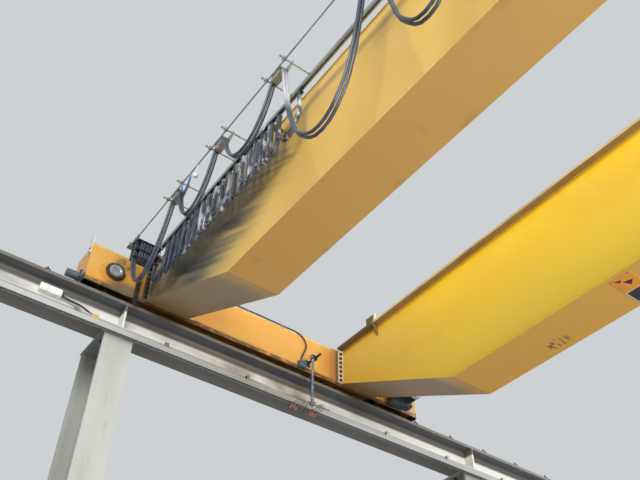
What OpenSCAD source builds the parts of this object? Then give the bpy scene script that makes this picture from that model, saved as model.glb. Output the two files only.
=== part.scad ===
// Overhead bridge crane on its own runway, in millimetres, +Z up.
// X runs across the span, Y along the runway, and the ground is Z = 0.
// Left is -X, right is +X, front is -Y and back is +Y.

/* [Runway] */
// distance between the two crane rails
span = 18000; // [12000:500:24000]
// distance between two columns along the runway
bay = 5000; // [4000:250:6000]
// number of bays
bays = 3; // [2:1:4]
// height of the top of the crane rails
rail_level = 6640; // [5000:100:9000]
// length of beam past the last column
beam_overhang = 200; // [150:10:400]

/* [Runway beam] */
// depth of the beam
beam_depth = 354; // [300:2:600]
// width of its flanges
beam_width = 310; // [250:10:400]
// thickness of its flanges
beam_flange = 39; // [20:1:45]
// thickness of its web
beam_web = 21; // [10:1:30]
// radius where web and flange meet
beam_root = 27; // [10:1:40]
// thickness of the stiffener plates over the columns
stiffener = 20; // [10:1:30]

/* [Column] */
// depth of a column across the runway
column_depth = 600; // [400:20:900]
// width of a column along the runway
column_width = 310; // [250:10:400]
// thickness of its flanges
column_flange = 30; // [15:1:40]
// thickness of its web
column_web = 16; // [10:1:25]
// how far a column stands outside the rail line
column_setback = 182; // [100:2:260]
// thickness of the cap plate
cap_plate = 25; // [15:1:40]
// edge of the cap plate around the column
cap_edge = 10; // [5:1:40]
// thickness of the base plate
base_plate = 40; // [25:5:60]
// edge of the base plate around the column
base_edge = 110; // [80:5:160]

/* [Crane rail] */
// height of the rail
rail_height = 75; // [55:5:105]
// width of its head
rail_head = 65; // [45:5:100]
// depth of its head
rail_head_depth = 34; // [24:1:50]
// width of its foot
rail_foot = 175; // [125:5:200]
// thickness of its foot at the edge
rail_foot_edge = 10; // [6:1:14]

/* [End stop] */
// length of a stop along the runway
stop_length = 330; // [240:10:500]
// width of a stop
stop_width = 240; // [180:10:300]
// thickness of its plates
stop_plate = 20; // [12:1:30]
// height of its face above the buffer's centre
stop_above_buffer = 90; // [60:5:150]

/* [Conductor rail] */
// width of the housing
conductor_width = 56; // [40:2:80]
// height of the housing
conductor_height = 58; // [40:2:90]
// thickness of its wall
conductor_wall = 4; // [3:0.5:8]
// width of the slot along its underside
conductor_slot = 16; // [10:1:24]
// how far the housing ends before the rail's end
conductor_short = 200; // [100:10:400]
// gap between the beam and the housing
conductor_drop = 15; // [12:1:40]
// how far the housing stands out past the beam's edge
conductor_out = 36; // [20:1:60]
// number of hangers in a bay
hangers_per_bay = 5; // [3:1:8]
// width of a hanger along the runway
hanger_width = 40; // [20:5:60]
// thickness of a hanger's strap
hanger_strap = 5; // [3:1:8]

/* [Feed box] */
// length of the box
feed_length = 228; // [150:2:300]
// height of the box
feed_height = 84; // [60:2:120]
// depth of the box
feed_depth = 62; // [40:2:90]
// place of the box along the runway
feed_y = -3268; // [-3600:10:-3000]
// diameter of the feed cable
feed_cable = 12; // [8:1:20]
// length of the feed cable's level run
feed_run = 212; // [100:4:400]

/* [Bridge] */
// place of the bridge along the runway
bridge_y = -774; // [-3000:1:3000]
// distance along the runway from an axle to the nearer girder's centre
girder_to_axle = 645; // [600:1:750]
// depth of a girder at midspan
girder_depth = 1308; // [900:4:1600]
// width of a girder over its webs
girder_width = 490; // [350:10:600]
// depth of a girder at its end
girder_end_depth = 478; // [400:2:600]
// length of the sloping end of a girder
girder_slope = 1779; // [1200:1:2400]
// thickness of the webs
girder_web = 8; // [6:1:12]
// thickness of the top and bottom plates
girder_plate = 14; // [10:1:24]
// how far the plates stand past the webs
girder_lip = 14; // [8:1:40]
// distance between the diaphragms inside
diaphragm_pitch = 1500; // [1000:100:2500]
// thickness of a diaphragm
diaphragm = 8; // [6:1:12]
// size of the opening in a diaphragm, as a share of the girder
diaphragm_opening = 0.5; // [0.3:0.05:0.6]
// thickness of the girder's end plate
end_plate = 20; // [14:1:30]
// how far the end plate stands past the webs
end_plate_lip = 62; // [40:2:90]

/* [Crab rail] */
// width of the crab rail
crab_rail_width = 50; // [40:5:70]
// height of the crab rail
crab_rail_height = 40; // [30:5:60]
// width of the ledge along the inner top edge
ledge_width = 86; // [60:2:110]
// thickness of the ledge
ledge_plate = 16; // [10:1:24]
// distance from the truck to the crab stop
stop_from_truck = 600; // [400:10:900]
// length of the crab stop
crab_stop_length = 164; // [120:4:240]
// drop of the crab stop's gussets below the ledge
crab_stop_drop = 140; // [80:5:220]
// height of the crab stop above the girder
crab_stop_height = 88; // [60:4:160]
// how far the crab stop reaches in over the girder
crab_stop_reach = 90; // [60:5:140]
// thickness of the crab stop's plates
crab_stop_plate = 14; // [8:1:20]

/* [End truck] */
// length of an end truck past its axles
truck_overhang = 299; // [260:1:420]
// width of an end truck
truck_width = 392; // [300:4:460]
// height of an end truck
truck_height = 483; // [420:1:600]
// height of the axles above the truck's lower edge
axle_height = 229; // [200:1:280]
// thickness of its side plates
truck_side = 12; // [8:1:20]
// thickness of its top plate and end plates
truck_plate = 16; // [10:1:24]
// distance between the two axles
wheelbase = 3904; // [3000:4:4600]
// step from the truck's top up to the girder's top
girder_step = 14; // [0:1:40]
// thickness of the pad behind a girder's end plate
truck_pad = 10; // [6:1:20]
// how far the pad stands past the girder's webs
truck_pad_lip = 165; // [90:5:170]

/* [Wheel] */
// radius of the tread
wheel_radius = 200; // [160:5:220]
// height of the wheel flanges
wheel_flange = 25; // [15:1:30]
// thickness of a wheel flange
wheel_flange_width = 22; // [15:1:30]
// side clearance between flange and rail head
flange_clearance = 5; // [5:0.5:12]
// gap between tread and rail
wheel_gap = 0.5; // [0.3:0.1:0.9]
// thickness of the wheel's web
wheel_web = 46; // [30:2:70]
// radius of the hub
hub_radius = 85; // [70:5:110]
// length of the hub
hub_length = 150; // [120:5:200]
// radius of the axle
axle_radius = 45; // [35:1:60]
// running clearance around the axle
axle_clearance = 0.1; // [0.05:0.01:0.1]

/* [Bearing housing] */
// radius of the housing
housing_radius = 109; // [90:1:130]
// how far the housing stands out
housing_out = 34; // [20:1:50]
// radius of the cover disc
cover_radius = 76; // [60:1:90]
// thickness of the cover disc
cover_plate = 10; // [6:1:16]

/* [Truck fittings] */
// radius of a buffer
buffer_radius = 45; // [35:1:60]
// length of a buffer
buffer_length = 130; // [90:5:180]
// thickness of the buffer's back plate
buffer_plate = 14; // [8:1:20]
// height of a buffer above the rail
buffer_height = 112; // [90:1:150]
// width of a rail guard
guard_width = 46; // [30:2:80]
// thickness of a rail guard
guard_plate = 16; // [8:1:24]
// how far a rail guard reaches below the truck
guard_drop = 70; // [40:1:90]
// height of a rail guard
guard_height = 360; // [250:10:420]
// distance from the axle to the rail guard
guard_from_axle = 269; // [250:1:320]
// thickness of a rail sweeper
sweeper_plate = 10; // [6:1:16]
// how far a sweeper reaches below the truck
sweeper_below = 20; // [10:1:24]
// gap between the sweeper and the rail
sweeper_gap = 12; // [8:1:25]
// height of the limit plate above the truck
limit_height = 138; // [80:2:200]
// width of the limit plate
limit_width = 90; // [60:5:140]

/* [Travel drive] */
// radius of the motor
motor_radius = 104; // [80:1:130]
// length of the motor
motor_length = 216; // [180:4:300]
// drop of the motor below the axle
motor_drop = 118; // [90:2:150]
// width of the gearbox
gearbox_width = 330; // [260:5:360]
// shift of the gearbox towards the girder
gearbox_shift = 45; // [20:5:60]
// thickness of the gearbox
gearbox_depth = 115; // [90:5:160]
// height of the gearbox
gearbox_height = 370; // [300:10:420]
// height of the gearbox's top above the axle
gearbox_above = 134; // [125:1:150]

/* [Festoon] */
// distance from the girder's web to the wire
wire_out = 396; // [350:2:450]
// drop of the wire below the girder's top
wire_drop = 90; // [60:2:140]
// radius of the wire
wire_radius = 7; // [5:0.5:10]
// distance from the truck to the end of wire and track
wire_end = 300; // [200:10:500]
// distance from the girder's web to the track
track_out = 130; // [100:2:160]
// depth of the track's section
track_depth = 46; // [30:2:60]
// width of the track's section
track_width = 40; // [30:2:60]
// thickness of its wall
track_wall = 3; // [2:0.5:5]
// width of the slot along its underside
track_slot = 12; // [8:1:16]
// distance between track brackets
bracket_pitch = 1800; // [1200:100:2600]
// thickness of a bracket's plates
bracket_plate = 8; // [5:1:12]
// width of a bracket along the girder
bracket_width = 60; // [40:5:90]

/* [Cable trolleys] */
// distance from the end clamp's middle to the first trolley
first_reach = 864; // [760:1:1000]
// distance from the first trolley to the second
near_pitch = 817; // [700:1:1100]
// distance from the second trolley to the third
next_pitch = 932; // [700:1:1200]
// distance from the third trolley to the fourth
first_wide = 1218; // [1000:1:1400]
// distance from the crab's middle to its tow arm
tow_offset = 110; // [60:5:300]
// number of trolleys after the fourth
far_trolleys = 5; // [3:1:6]
// distance between the two axles of a trolley
trolley_axles = 274; // [220:2:320]
// radius of a trolley's rollers
roller_radius = 18; // [14:1:24]
// width of a roller
roller_width = 24; // [16:2:32]
// radius of a trolley's axles
trolley_axle = 7; // [5:0.5:9]
// gap where one festoon piece rests on another
festoon_seat = 0.3; // [0.3:0.1:0.8]
// distance from the wire to the cables
lane = 38; // [36:1:50]
// radius of a saddle, to the cable's middle
saddle_radius = 80; // [60:2:100]
// radius of a round cable
cable_radius = 13; // [10:1:16]
// gap between the two round cables
cable_gap = 2; // [2:0.5:6]
// depth of the loop at the end clamp
first_depth = 660; // [620:10:800]
// depth of the two loops after it
near_depth = 520; // [450:10:800]
// depth of the wide loops
wide_depth = 1300; // [900:10:1400]

/* [Bunched cables] */
// distance from the end clamp's middle to the first bunched carrier
carrier_start = 286; // [240:2:400]
// number of bunched loops
loops = 17; // [10:1:20]
// distance between bunched carriers
loop_pitch = 118; // [100:2:140]
// depth of a bunched loop
loop_depth = 460; // [400:10:700]
// width of the flat cable
flat_width = 32; // [20:2:50]
// thickness of the flat cable
flat_thick = 9; // [6:1:14]
// drop from the track to the flat cable
carrier_drop = 44; // [34:2:80]
// thickness of a carrier's plates
carrier_plate = 6; // [4:1:10]
// play between a carrier and the track
carrier_play = 0.3; // [0.3:0.1:0.8]
// length of the clamp that ends the cables
clamp_length = 110; // [80:5:160]
// height of that clamp
clamp_height = 250; // [180:10:300]

/* [Collector] */
// place of the arm along the bridge, from its centre
arm_y = 524; // [400:2:800]
// distance from the truck to the arm
arm_out = 150; // [130:2:200]
// radius of the arm's tube
arm_radius = 15; // [12:1:20]
// clearance around the arm in its clamp
arm_play = 0.1; // [0.05:0.05:0.3]
// height of the arm's top above the truck's lower edge
arm_above = 134; // [100:2:180]
// radius of the bar that carries the arm
bar_radius = 14; // [10:1:18]
// how far the bar stands out past the arm
bar_past = 109; // [60:1:140]
// size of the clamps on the arm
arm_clamp = 46; // [40:2:60]
// height of the carriage rod above the conductor rail's underside
carriage_drop = 34; // [20:2:40]
// length of the carriage rod
carriage_length = 490; // [350:10:600]
// radius of the carriage rod
carriage_radius = 7; // [5:0.5:10]
// radius of the pins that carry the shoes
pin_radius = 4; // [3:0.5:6]
// distance between the two pins of a shoe
pin_pitch = 76; // [50:2:80]
// length of a collector shoe
shoe_length = 90; // [86:2:120]
// width of a collector shoe
shoe_width = 30; // [24:2:40]
// height of a collector shoe
shoe_height = 48; // [36:2:60]
// distance between the two shoes
shoe_pitch = 266; // [220:2:300]
// gap between the shoes and the conductor rail
shoe_gap = 6; // [5:0.5:12]
// distance along the truck from the arm to the box
box_from_arm = 70; // [60:2:120]
// width of the box
box_width = 93; // [70:1:120]
// height of the box
box_height = 86; // [60:2:120]
// depth of the box
box_depth = 58; // [40:2:80]
// radius of the collector's cable
collector_cable_radius = 9; // [7:0.5:12]
// radius of the cable's bends
cable_bend = 50; // [36:2:56]

/* [Sign] */
// length of the sign plate
sign_length = 200; // [150:10:300]
// width of the sign plate
sign_width = 420; // [300:10:440]
// thickness of the sign plate
sign_thick = 3; // [2:0.5:5]
// distance from the girder's middle to the sign plate
sign_place = 5160; // [4000:10:6000]

/* [Crab] */
// place of the crab along the girders
crab_x = 900; // [500:50:4000]
// distance between the crab's axles
crab_wheelbase = 1500; // [1200:50:2000]
// radius of the crab's wheels
crab_wheel = 140; // [110:5:180]
// size of the crab's frame beams
crab_beam = 180; // [140:10:240]
// length of the crab's frame past its wheels
crab_overhang = 60; // [40:5:100]
// height of the crab's frame below its axles
crab_below = 60; // [50:5:80]
// radius of the rope drum
drum_radius = 210; // [150:5:260]
// thickness of the drum's shell
drum_shell = 22; // [12:1:30]
// height of the drum's flanges
drum_flange = 30; // [20:2:50]
// thickness of the drum's flanges
drum_flange_plate = 20; // [12:1:30]
// width of a drum bearing
drum_bearing = 40; // [30:5:60]
// height of the hook's seat above the ground
hook_level = 4700; // [3500:50:5500]
// radius of the hoist rope
rope_radius = 8; // [5:1:12]
// distance between two falls of rope
rope_pitch = 160; // [120:10:200]
// height of the pulleys above the hook's seat
pulley_height = 560; // [480:10:640]
// radius of the pulleys
pulley_radius = 140; // [110:5:180]
// width of a pulley
pulley_width = 28; // [20:2:40]
// radius of the hoist motor
hoist_motor_radius = 120; // [90:5:150]
// length of the hoist motor
hoist_motor_length = 400; // [300:10:500]
// thickness of the hoist gearbox
hoist_gearbox_depth = 160; // [120:10:200]

/* [Hidden] */
fine = 96;
small = 48;
cable_round = 13;
loop_round = 18;
// runway
runway_length = bay * bays + 2 * beam_overhang;
rail_x = span / 2;
beam_top = rail_level - rail_height;
beam_bottom = beam_top - beam_depth;
column_x = rail_x + column_setback;
column_top = beam_bottom - cap_plate;
column_ys = [for (i = [0 : bays]) (i - bays / 2) * bay];
rail_length = runway_length - 2 * stop_length;
// conductor rail
conductor_x = -rail_x + beam_width / 2 + conductor_out - conductor_width / 2;
conductor_top = beam_bottom - conductor_drop;
conductor_bottom = conductor_top - conductor_height;
conductor_length = rail_length - 2 * conductor_short;
hanger_pitch = bay / hangers_per_bay;
// end trucks
truck_length = wheelbase + 2 * truck_overhang;
wheel_z = rail_level + wheel_gap + wheel_radius;
truck_bottom = wheel_z - axle_height;
truck_top = truck_bottom + truck_height;
truck_face = rail_x - truck_width / 2;
buffer_z = rail_level + buffer_height;
tread_width = rail_head + 2 * flange_clearance;
wheel_width = tread_width + 2 * wheel_flange_width;
// girders
girder_top = truck_top + girder_step;
girder_bottom = girder_top - girder_depth;
girder_end = truck_face - truck_pad - end_plate;
knuckle = girder_end - girder_slope;
girder_y = wheelbase / 2 - girder_to_axle;
outer_web = girder_y + girder_width / 2;
slope_drop = girder_depth - girder_end_depth;
slope_angle = atan(slope_drop / girder_slope);
plate_lift = girder_plate / cos(slope_angle);
plate_shift = girder_plate * tan(slope_angle / 2);
deck_z = girder_top + girder_plate;
inner_web = girder_y - girder_width / 2;
// crab rails
crab_rail_top = deck_z + crab_rail_height;
crab_stop_x = truck_face - stop_from_truck - crab_stop_length;
// festoon
wire_y = -outer_web - wire_out;
wire_z = girder_top - wire_drop;
wire_stop = truck_face - wire_end;
track_y = -outer_web - track_out;
track_top = wire_z + wire_radius;
track_bottom = track_top - track_depth;
axle_z = track_top + festoon_seat + roller_radius;
lane_y = wire_y + lane;
saddle_z = axle_z - saddle_radius;
end_clamp_x = -wire_stop + bracket_plate + clamp_length / 2;
first_trolley = end_clamp_x + first_reach;
third_trolley = first_trolley + near_pitch + next_pitch;
fourth_trolley = third_trolley + first_wide;
tow_x = crab_x - tow_offset;
wide_pitch = (tow_x - fourth_trolley) / (far_trolleys + 1);
trolley_xs = concat([first_trolley, first_trolley + near_pitch, third_trolley],
    [for (i = [0 : far_trolleys]) fourth_trolley + i * wide_pitch]);
carrier_xs = concat([for (i = [0 : loops]) end_clamp_x + carrier_start + i * loop_pitch],
    [third_trolley]);
flat_offset = flat_thick / 2 + 2;
flat_top = track_bottom - carrier_drop;
cable_ys = [lane_y - cable_radius - cable_gap / 2, lane_y + cable_radius + cable_gap / 2];
track_stop = wire_stop - bracket_plate - clamp_length - bracket_width / 2;
clamp_top = wire_z + 3 * wire_radius;
clamp_bottom = clamp_top - clamp_height;
// collector
arm_x = -truck_face + arm_out;
arm_top = truck_bottom + arm_above;
carriage_z = conductor_bottom - carriage_drop;
shoe_top = conductor_bottom - shoe_gap;
box_y = arm_y - box_from_arm;
box_bottom = truck_bottom + 4;
shoe_ys = [arm_y - shoe_pitch / 2, arm_y + shoe_pitch / 2];
shoe_half = shoe_width / 2;
// crab
crab_rail_y = inner_web + crab_rail_width / 2;
crab_side = crab_rail_y + crab_beam / 2;
crab_inside = crab_rail_y - crab_beam / 2;
crab_half = crab_wheelbase / 2 + crab_wheel + crab_overhang;
crab_axle_z = crab_rail_top + crab_wheel;
crab_deck = crab_axle_z + crab_below + crab_beam;
drum_z = crab_deck + drum_radius + 2 * drum_flange;
drum_end = crab_inside - 2.5 * drum_bearing;
rope_ys = [for (i = [-1.5 : 1 : 1.5]) i * rope_pitch];
rope_x = drum_radius + rope_radius;

left_columns();
right_columns();
left_runway_beam();
right_runway_beam();
left_crane_rail();
right_crane_rail();
end_stops();
conductor_rail();
conductor_hangers();
feed_box();
feed_cable_run();  // feed_cable
front_girder();
back_girder();
crab_rails();
crab_rail_ledges();
crab_stops();
left_end_truck();
right_end_truck();
bearing_housings();
axle_covers();
truck_buffers();
rail_guards();
rail_sweepers();
travel_drives();
limit_plate();
festoon_track();
festoon_brackets();
cable_trolleys();
festoon_cables();
cable_carriers();
flat_cables();
tow_arm();
collector_bracket();
collector_arm();
collector_carriage();
collector_shoes();
collector_box();
collector_cable();
sign_plate();
front_left_wheel();
back_left_wheel();
front_right_wheel();
back_right_wheel();
crab_side_beams();
crab_cross_beams();
crab_wheels();
hoist_drum();
hoist_drive();
hoist_ropes();
hook_block();

// A box from its two opposite corners.
module block(a, b) {
    translate(a) cube(b - a);
}

// A bar of round section along X, Y or Z, from its start point.
module rod(start, dir, length, r) {
    turn = dir == "x" ? [0, 90, 0] : dir == "y" ? [-90, 0, 0] : [0, 0, 0];
    translate(start) rotate(turn) cylinder(h = length, r = r, $fn = small);
}

// An outline drawn in X and Z, made solid along Y from y0 over a width.
module wall_xz(y0, width) {
    translate([0, y0 + width, 0]) rotate([90, 0, 0]) linear_extrude(height = width) children();
}

// An outline drawn in Y and Z, made solid along X from x0 over a width.
module wall_yz(x0, width) {
    translate([x0, 0, 0]) rotate([90, 0, 90]) linear_extrude(height = width) children();
}

module both_x() {
    children();
    mirror([1, 0, 0]) children();
}

module both_y() {
    children();
    mirror([0, 1, 0]) children();
}

module on_bridge() {
    translate([0, bridge_y, 0]) children();
}

// Runway: columns, beams, rails, end stops.

module column(y) {
    web_half = column_width / 2;
    inner = column_depth / 2 - column_flange;
    translate([column_x, y, 0]) {
        block([-column_depth / 2 - base_edge, -web_half - base_edge, 0],
            [column_depth / 2 + base_edge, web_half + base_edge, base_plate]);
        translate([0, 0, base_plate]) linear_extrude(height = column_top - base_plate) {
            translate([-inner, -column_web / 2]) square([2 * inner, column_web]);
            translate([-column_depth / 2, -web_half]) square([column_flange, column_width]);
            translate([inner, -web_half]) square([column_flange, column_width]);
        }
        block([-column_depth / 2 - cap_edge, -web_half - cap_edge, column_top],
            [column_depth / 2 + cap_edge, web_half + cap_edge, beam_bottom]);
    }
}

module right_columns() {
    color("#b9bdb9") for (y = column_ys) column(y);
}

module left_columns() {
    color("#b9bdb9") mirror([1, 0, 0]) for (y = column_ys) column(y);
}

// Section of a rolled beam with its root radii, drawn about the web, from its underside up.
module beam_section() {
    inner_h = beam_depth - 2 * beam_flange;
    difference() {
        translate([-beam_width / 2, 0]) square([beam_width, beam_depth]);
        for (s = [-1, 1]) {
            translate([s * (beam_web / 2 + beam_root), beam_flange]) {
                translate([s > 0 ? 0 : -beam_width, 0]) square([beam_width, inner_h]);
                translate([-beam_root, beam_root]) square([2 * beam_root, inner_h - 2 * beam_root]);
                translate([0, beam_root]) circle(r = beam_root, $fn = small);
                translate([0, inner_h - beam_root]) circle(r = beam_root, $fn = small);
            }
        }
    }
}

module runway_beam() {
    reach = (beam_width - beam_web) / 2;
    inner_h = beam_depth - 2 * beam_flange;
    translate([rail_x, 0, beam_bottom]) {
        wall_xz(-runway_length / 2, runway_length) beam_section();
        for (y = column_ys)
            for (s = [-1, 1])
                translate([s > 0 ? beam_web / 2 : -beam_web / 2 - reach, y - stiffener / 2, beam_flange])
                    cube([reach, stiffener, inner_h]);
    }
}

module right_runway_beam() {
    color("#a9a9a2") runway_beam();
}

module left_runway_beam() {
    color("#a9a9a2") mirror([1, 0, 0]) runway_beam();
}

// Section of the crane rail: foot with sloping top, web and head.
module rail_section() {
    foot_top = rail_height - rail_head_depth;
    half_head = rail_head / 2;
    half_web = rail_head * 0.29;
    foot_in = foot_top * 0.55;
    polygon([
        [-rail_foot / 2, 0], [rail_foot / 2, 0], [rail_foot / 2, rail_foot_edge],
        [half_web, foot_in], [half_web, foot_top], [half_head, foot_top],
        [half_head, rail_height], [-half_head, rail_height], [-half_head, foot_top],
        [-half_web, foot_top], [-half_web, foot_in], [-rail_foot / 2, rail_foot_edge]
    ]);
}

module crane_rail() {
    translate([rail_x, 0, beam_top]) wall_xz(-rail_length / 2, rail_length) rail_section();
}

module right_crane_rail() {
    color("#6f6a64") crane_rail();
}

module left_crane_rail() {
    color("#6f6a64") mirror([1, 0, 0]) crane_rail();
}

module end_stop() {
    face_top = buffer_z + stop_above_buffer;
    face_y = rail_length / 2;
    translate([rail_x, 0, 0]) {
        block([-stop_width / 2, face_y, beam_top],
            [stop_width / 2, face_y + stop_length, beam_top + stop_plate]);
        block([-stop_width / 2, face_y, beam_top + stop_plate],
            [stop_width / 2, face_y + stop_plate, face_top]);
        for (x = [-stop_width / 4, stop_width / 4])
            wall_yz(x - stop_plate / 2, stop_plate) polygon([
                [face_y + stop_plate, beam_top + stop_plate],
                [face_y + stop_length, beam_top + stop_plate],
                [face_y + stop_plate, face_top]
            ]);
    }
}

module end_stops() {
    color("#e0a21b") both_x() both_y() end_stop();
}

// Conductor rail: a slotted housing on strap hangers along the left beam.

module conductor_rail() {
    inner_w = conductor_width - 2 * conductor_wall;
    inner_h = conductor_height - 2 * conductor_wall;
    color("#c3c6c4") translate([conductor_x, 0, conductor_bottom])
        wall_xz(-conductor_length / 2, conductor_length) difference() {
            translate([-conductor_width / 2, 0]) square([conductor_width, conductor_height]);
            translate([-inner_w / 2, conductor_wall]) square([inner_w, inner_h]);
            translate([-conductor_slot / 2, -1]) square([conductor_slot, conductor_wall + 2]);
        }
}

// One hanger: a plate over the housing, up past the beam's edge and back over its flange.
module hanger(y) {
    edge_x = -rail_x + beam_width / 2;
    flange_top = beam_bottom + beam_flange;
    right = conductor_x + conductor_width / 2;
    translate([0, y - hanger_width / 2, 0]) {
        block([conductor_x - conductor_width / 2, 0, conductor_top],
            [right, hanger_width, conductor_top + hanger_strap]);
        block([right - hanger_strap, 0, conductor_top + hanger_strap],
            [right, hanger_width, flange_top + hanger_strap]);
        block([edge_x - 40, 0, flange_top], [right - hanger_strap, hanger_width, flange_top + hanger_strap]);
    }
}

module conductor_hangers() {
    color("#8f9491") for (i = [0 : bays * hangers_per_bay - 1])
        hanger((i + 0.5) * hanger_pitch - bays * bay / 2);
}

module feed_box() {
    x0 = -rail_x + beam_web / 2;
    z0 = beam_bottom + beam_depth * 0.47;
    color("#dfe1dd") block([x0, feed_y - feed_length / 2, z0],
        [x0 + feed_depth, feed_y + feed_length / 2, z0 + feed_height]);
}

// A cable's turn through a right angle, in the plane XY about the origin.
module quarter_bend(bend, r) {
    rotate_extrude(angle = 90, $fn = small)
        translate([bend, 0]) circle(r = r, $fn = small);
}

// Feed cable: out of the box's end, along the web and down onto the flange.
module feed_cable_run() {
    r = feed_cable / 2;
    bend = 4 * feed_cable;
    x = -rail_x + beam_web / 2 + feed_depth / 2;
    y = feed_y + feed_length / 2;
    z = beam_bottom + beam_depth * 0.47 + feed_height / 2;
    low = beam_bottom + beam_flange;
    color("#1c1c1e") {
        rod([x, y, z], "y", feed_run, r);
        translate([x, y + feed_run, z - bend]) rotate([90, 0, 90]) quarter_bend(bend, r);
        rod([x, y + feed_run + bend, low], "z", z - bend - low, r);
    }
}

// Girders: welded boxes with sloping ends, diaphragms inside and a bolted plate at each end.

function girder_outline(side) = [
    [-girder_end, girder_top], [-girder_end, girder_top - girder_end_depth],
    [-knuckle, girder_bottom], [knuckle, girder_bottom],
    [girder_end, girder_top - girder_end_depth], [girder_end, girder_top]
];

// The bent bottom plate, as a strip of even thickness.
function bottom_strip() = [
    [-girder_end, girder_top - girder_end_depth], [-knuckle, girder_bottom],
    [knuckle, girder_bottom], [girder_end, girder_top - girder_end_depth],
    [girder_end, girder_top - girder_end_depth + plate_lift],
    [knuckle - plate_shift, girder_bottom + girder_plate],
    [-knuckle + plate_shift, girder_bottom + girder_plate],
    [-girder_end, girder_top - girder_end_depth + plate_lift]
];

module girder() {
    plate_width = girder_width + 2 * girder_lip;
    half = girder_width / 2;
    hole_w = girder_width * diaphragm_opening;
    hole_h = girder_depth * diaphragm_opening;
    middle = (girder_top + girder_bottom) / 2;
    count = floor(knuckle / diaphragm_pitch);
    for (y = [-half, half - girder_web]) wall_xz(y, girder_web) polygon(girder_outline());
    wall_xz(-plate_width / 2, plate_width) polygon(bottom_strip());
    block([-girder_end, -plate_width / 2, girder_top], [girder_end, plate_width / 2, deck_z]);
    for (i = [-count : count])
        difference() {
            block([i * diaphragm_pitch - diaphragm / 2, -half + girder_web, girder_bottom + girder_plate],
                [i * diaphragm_pitch + diaphragm / 2, half - girder_web, girder_top]);
            block([i * diaphragm_pitch - diaphragm, -hole_w / 2, middle - hole_h / 2],
                [i * diaphragm_pitch + diaphragm, hole_w / 2, middle + hole_h / 2]);
        }
    both_x() block([girder_end, -half - end_plate_lip, truck_bottom + end_plate],
        [girder_end + end_plate, half + end_plate_lip, truck_top - truck_plate]);
}

module front_girder() {
    color("#e3b52c") on_bridge() translate([0, -girder_y, 0]) girder();
}

module back_girder() {
    color("#e8c02c") on_bridge() translate([0, girder_y, 0]) girder();
}

// Crab rails over the inner webs, the ledge beside them and the stops at their ends.

module crab_rails() {
    color("#8d7a5c") on_bridge() both_y()
        block([-crab_stop_x, inner_web, deck_z], [crab_stop_x, inner_web + crab_rail_width, crab_rail_top]);
}

module crab_rail_ledges() {
    color("#cdb67c") on_bridge() both_y()
        block([-girder_end, inner_web - ledge_width, girder_top - ledge_plate],
            [girder_end, inner_web - girder_lip, deck_z]);
}

// A stop: a base over ledge and girder, two uprights with a wall behind them, two gussets below.
module crab_stop() {
    x = crab_stop_x;
    edge = inner_web - ledge_width;
    back = inner_web + crab_stop_reach;
    base_top = deck_z + crab_stop_plate;
    top = deck_z + crab_stop_height;
    below = girder_top - ledge_plate;
    block([x, edge, deck_z], [x + crab_stop_length, back, base_top]);
    for (dx = [0, crab_stop_length - crab_stop_plate]) {
        block([x + dx, edge, base_top], [x + dx + crab_stop_plate, back, top]);
        wall_yz(x + dx, crab_stop_plate) polygon([
            [edge, below], [inner_web, below], [inner_web, below - crab_stop_drop]
        ]);
    }
    block([x + crab_stop_plate, back - crab_stop_plate, base_top],
        [x + crab_stop_length - crab_stop_plate, back, top]);
}

module crab_stops() {
    color("#c9a24a") on_bridge() both_x() both_y() crab_stop();
}

// End trucks: a top plate on two side plates, open below over the rail.

module end_truck() {
    half = truck_width / 2;
    end = truck_length / 2;
    translate([rail_x, 0, 0]) difference() {
        union() {
            block([-half, -end, truck_top - truck_plate], [half, end, truck_top]);
            for (x = [-half, half - truck_side])
                block([x, -end, truck_bottom], [x + truck_side, end, truck_top - truck_plate]);
            for (y = [-end, end - truck_plate])
                block([-half + truck_side, y, rail_level + sweeper_gap + 20],
                    [half - truck_side, y + truck_plate, truck_top - truck_plate]);
            for (y = [-girder_y - girder_width / 2, -girder_y + girder_width / 2,
                    girder_y - girder_width / 2, girder_y + girder_width / 2])
                block([-half + truck_side, y - diaphragm / 2, rail_level + 60],
                    [half - truck_side, y + diaphragm / 2, truck_top - truck_plate]);
            both_y() block([-half - truck_pad, inner_web - truck_pad_lip, truck_bottom + truck_plate],
                [-half, outer_web + end_plate_lip, truck_top]);
        }
        for (y = [-wheelbase / 2, wheelbase / 2])
            rod([-half - 1, y, wheel_z], "x", truck_width + 2, axle_radius + 8);
    }
}

module right_end_truck() {
    color("#e6b325") on_bridge() end_truck();
}

module left_end_truck() {
    color("#e6b325") on_bridge() mirror([1, 0, 0]) end_truck();
}

// A bearing housing on the outer face of one side plate, at the given side of the truck.
module housing() {
    bore = axle_radius + axle_clearance;
    difference() {
        rod([truck_width / 2, 0, 0], "x", housing_out, housing_radius);
        rod([truck_width / 2 - 1, 0, 0], "x", housing_out + 2, bore);
        rod([truck_width / 2 + housing_out - cover_plate, 0, 0], "x", cover_plate + 1, cover_radius);
    }
}

module at_wheels() {
    for (x = [-rail_x, rail_x])
        for (y = [-wheelbase / 2, wheelbase / 2])
            translate([x, y, wheel_z]) children();
}

module bearing_housings() {
    color("#4a4744") on_bridge() at_wheels() both_x() housing();
}

module axle_covers() {
    color("#b8bcc0") on_bridge() at_wheels() both_x()
        rod([truck_width / 2 + housing_out - cover_plate, 0, 0], "x", cover_plate, cover_radius);
}

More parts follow.
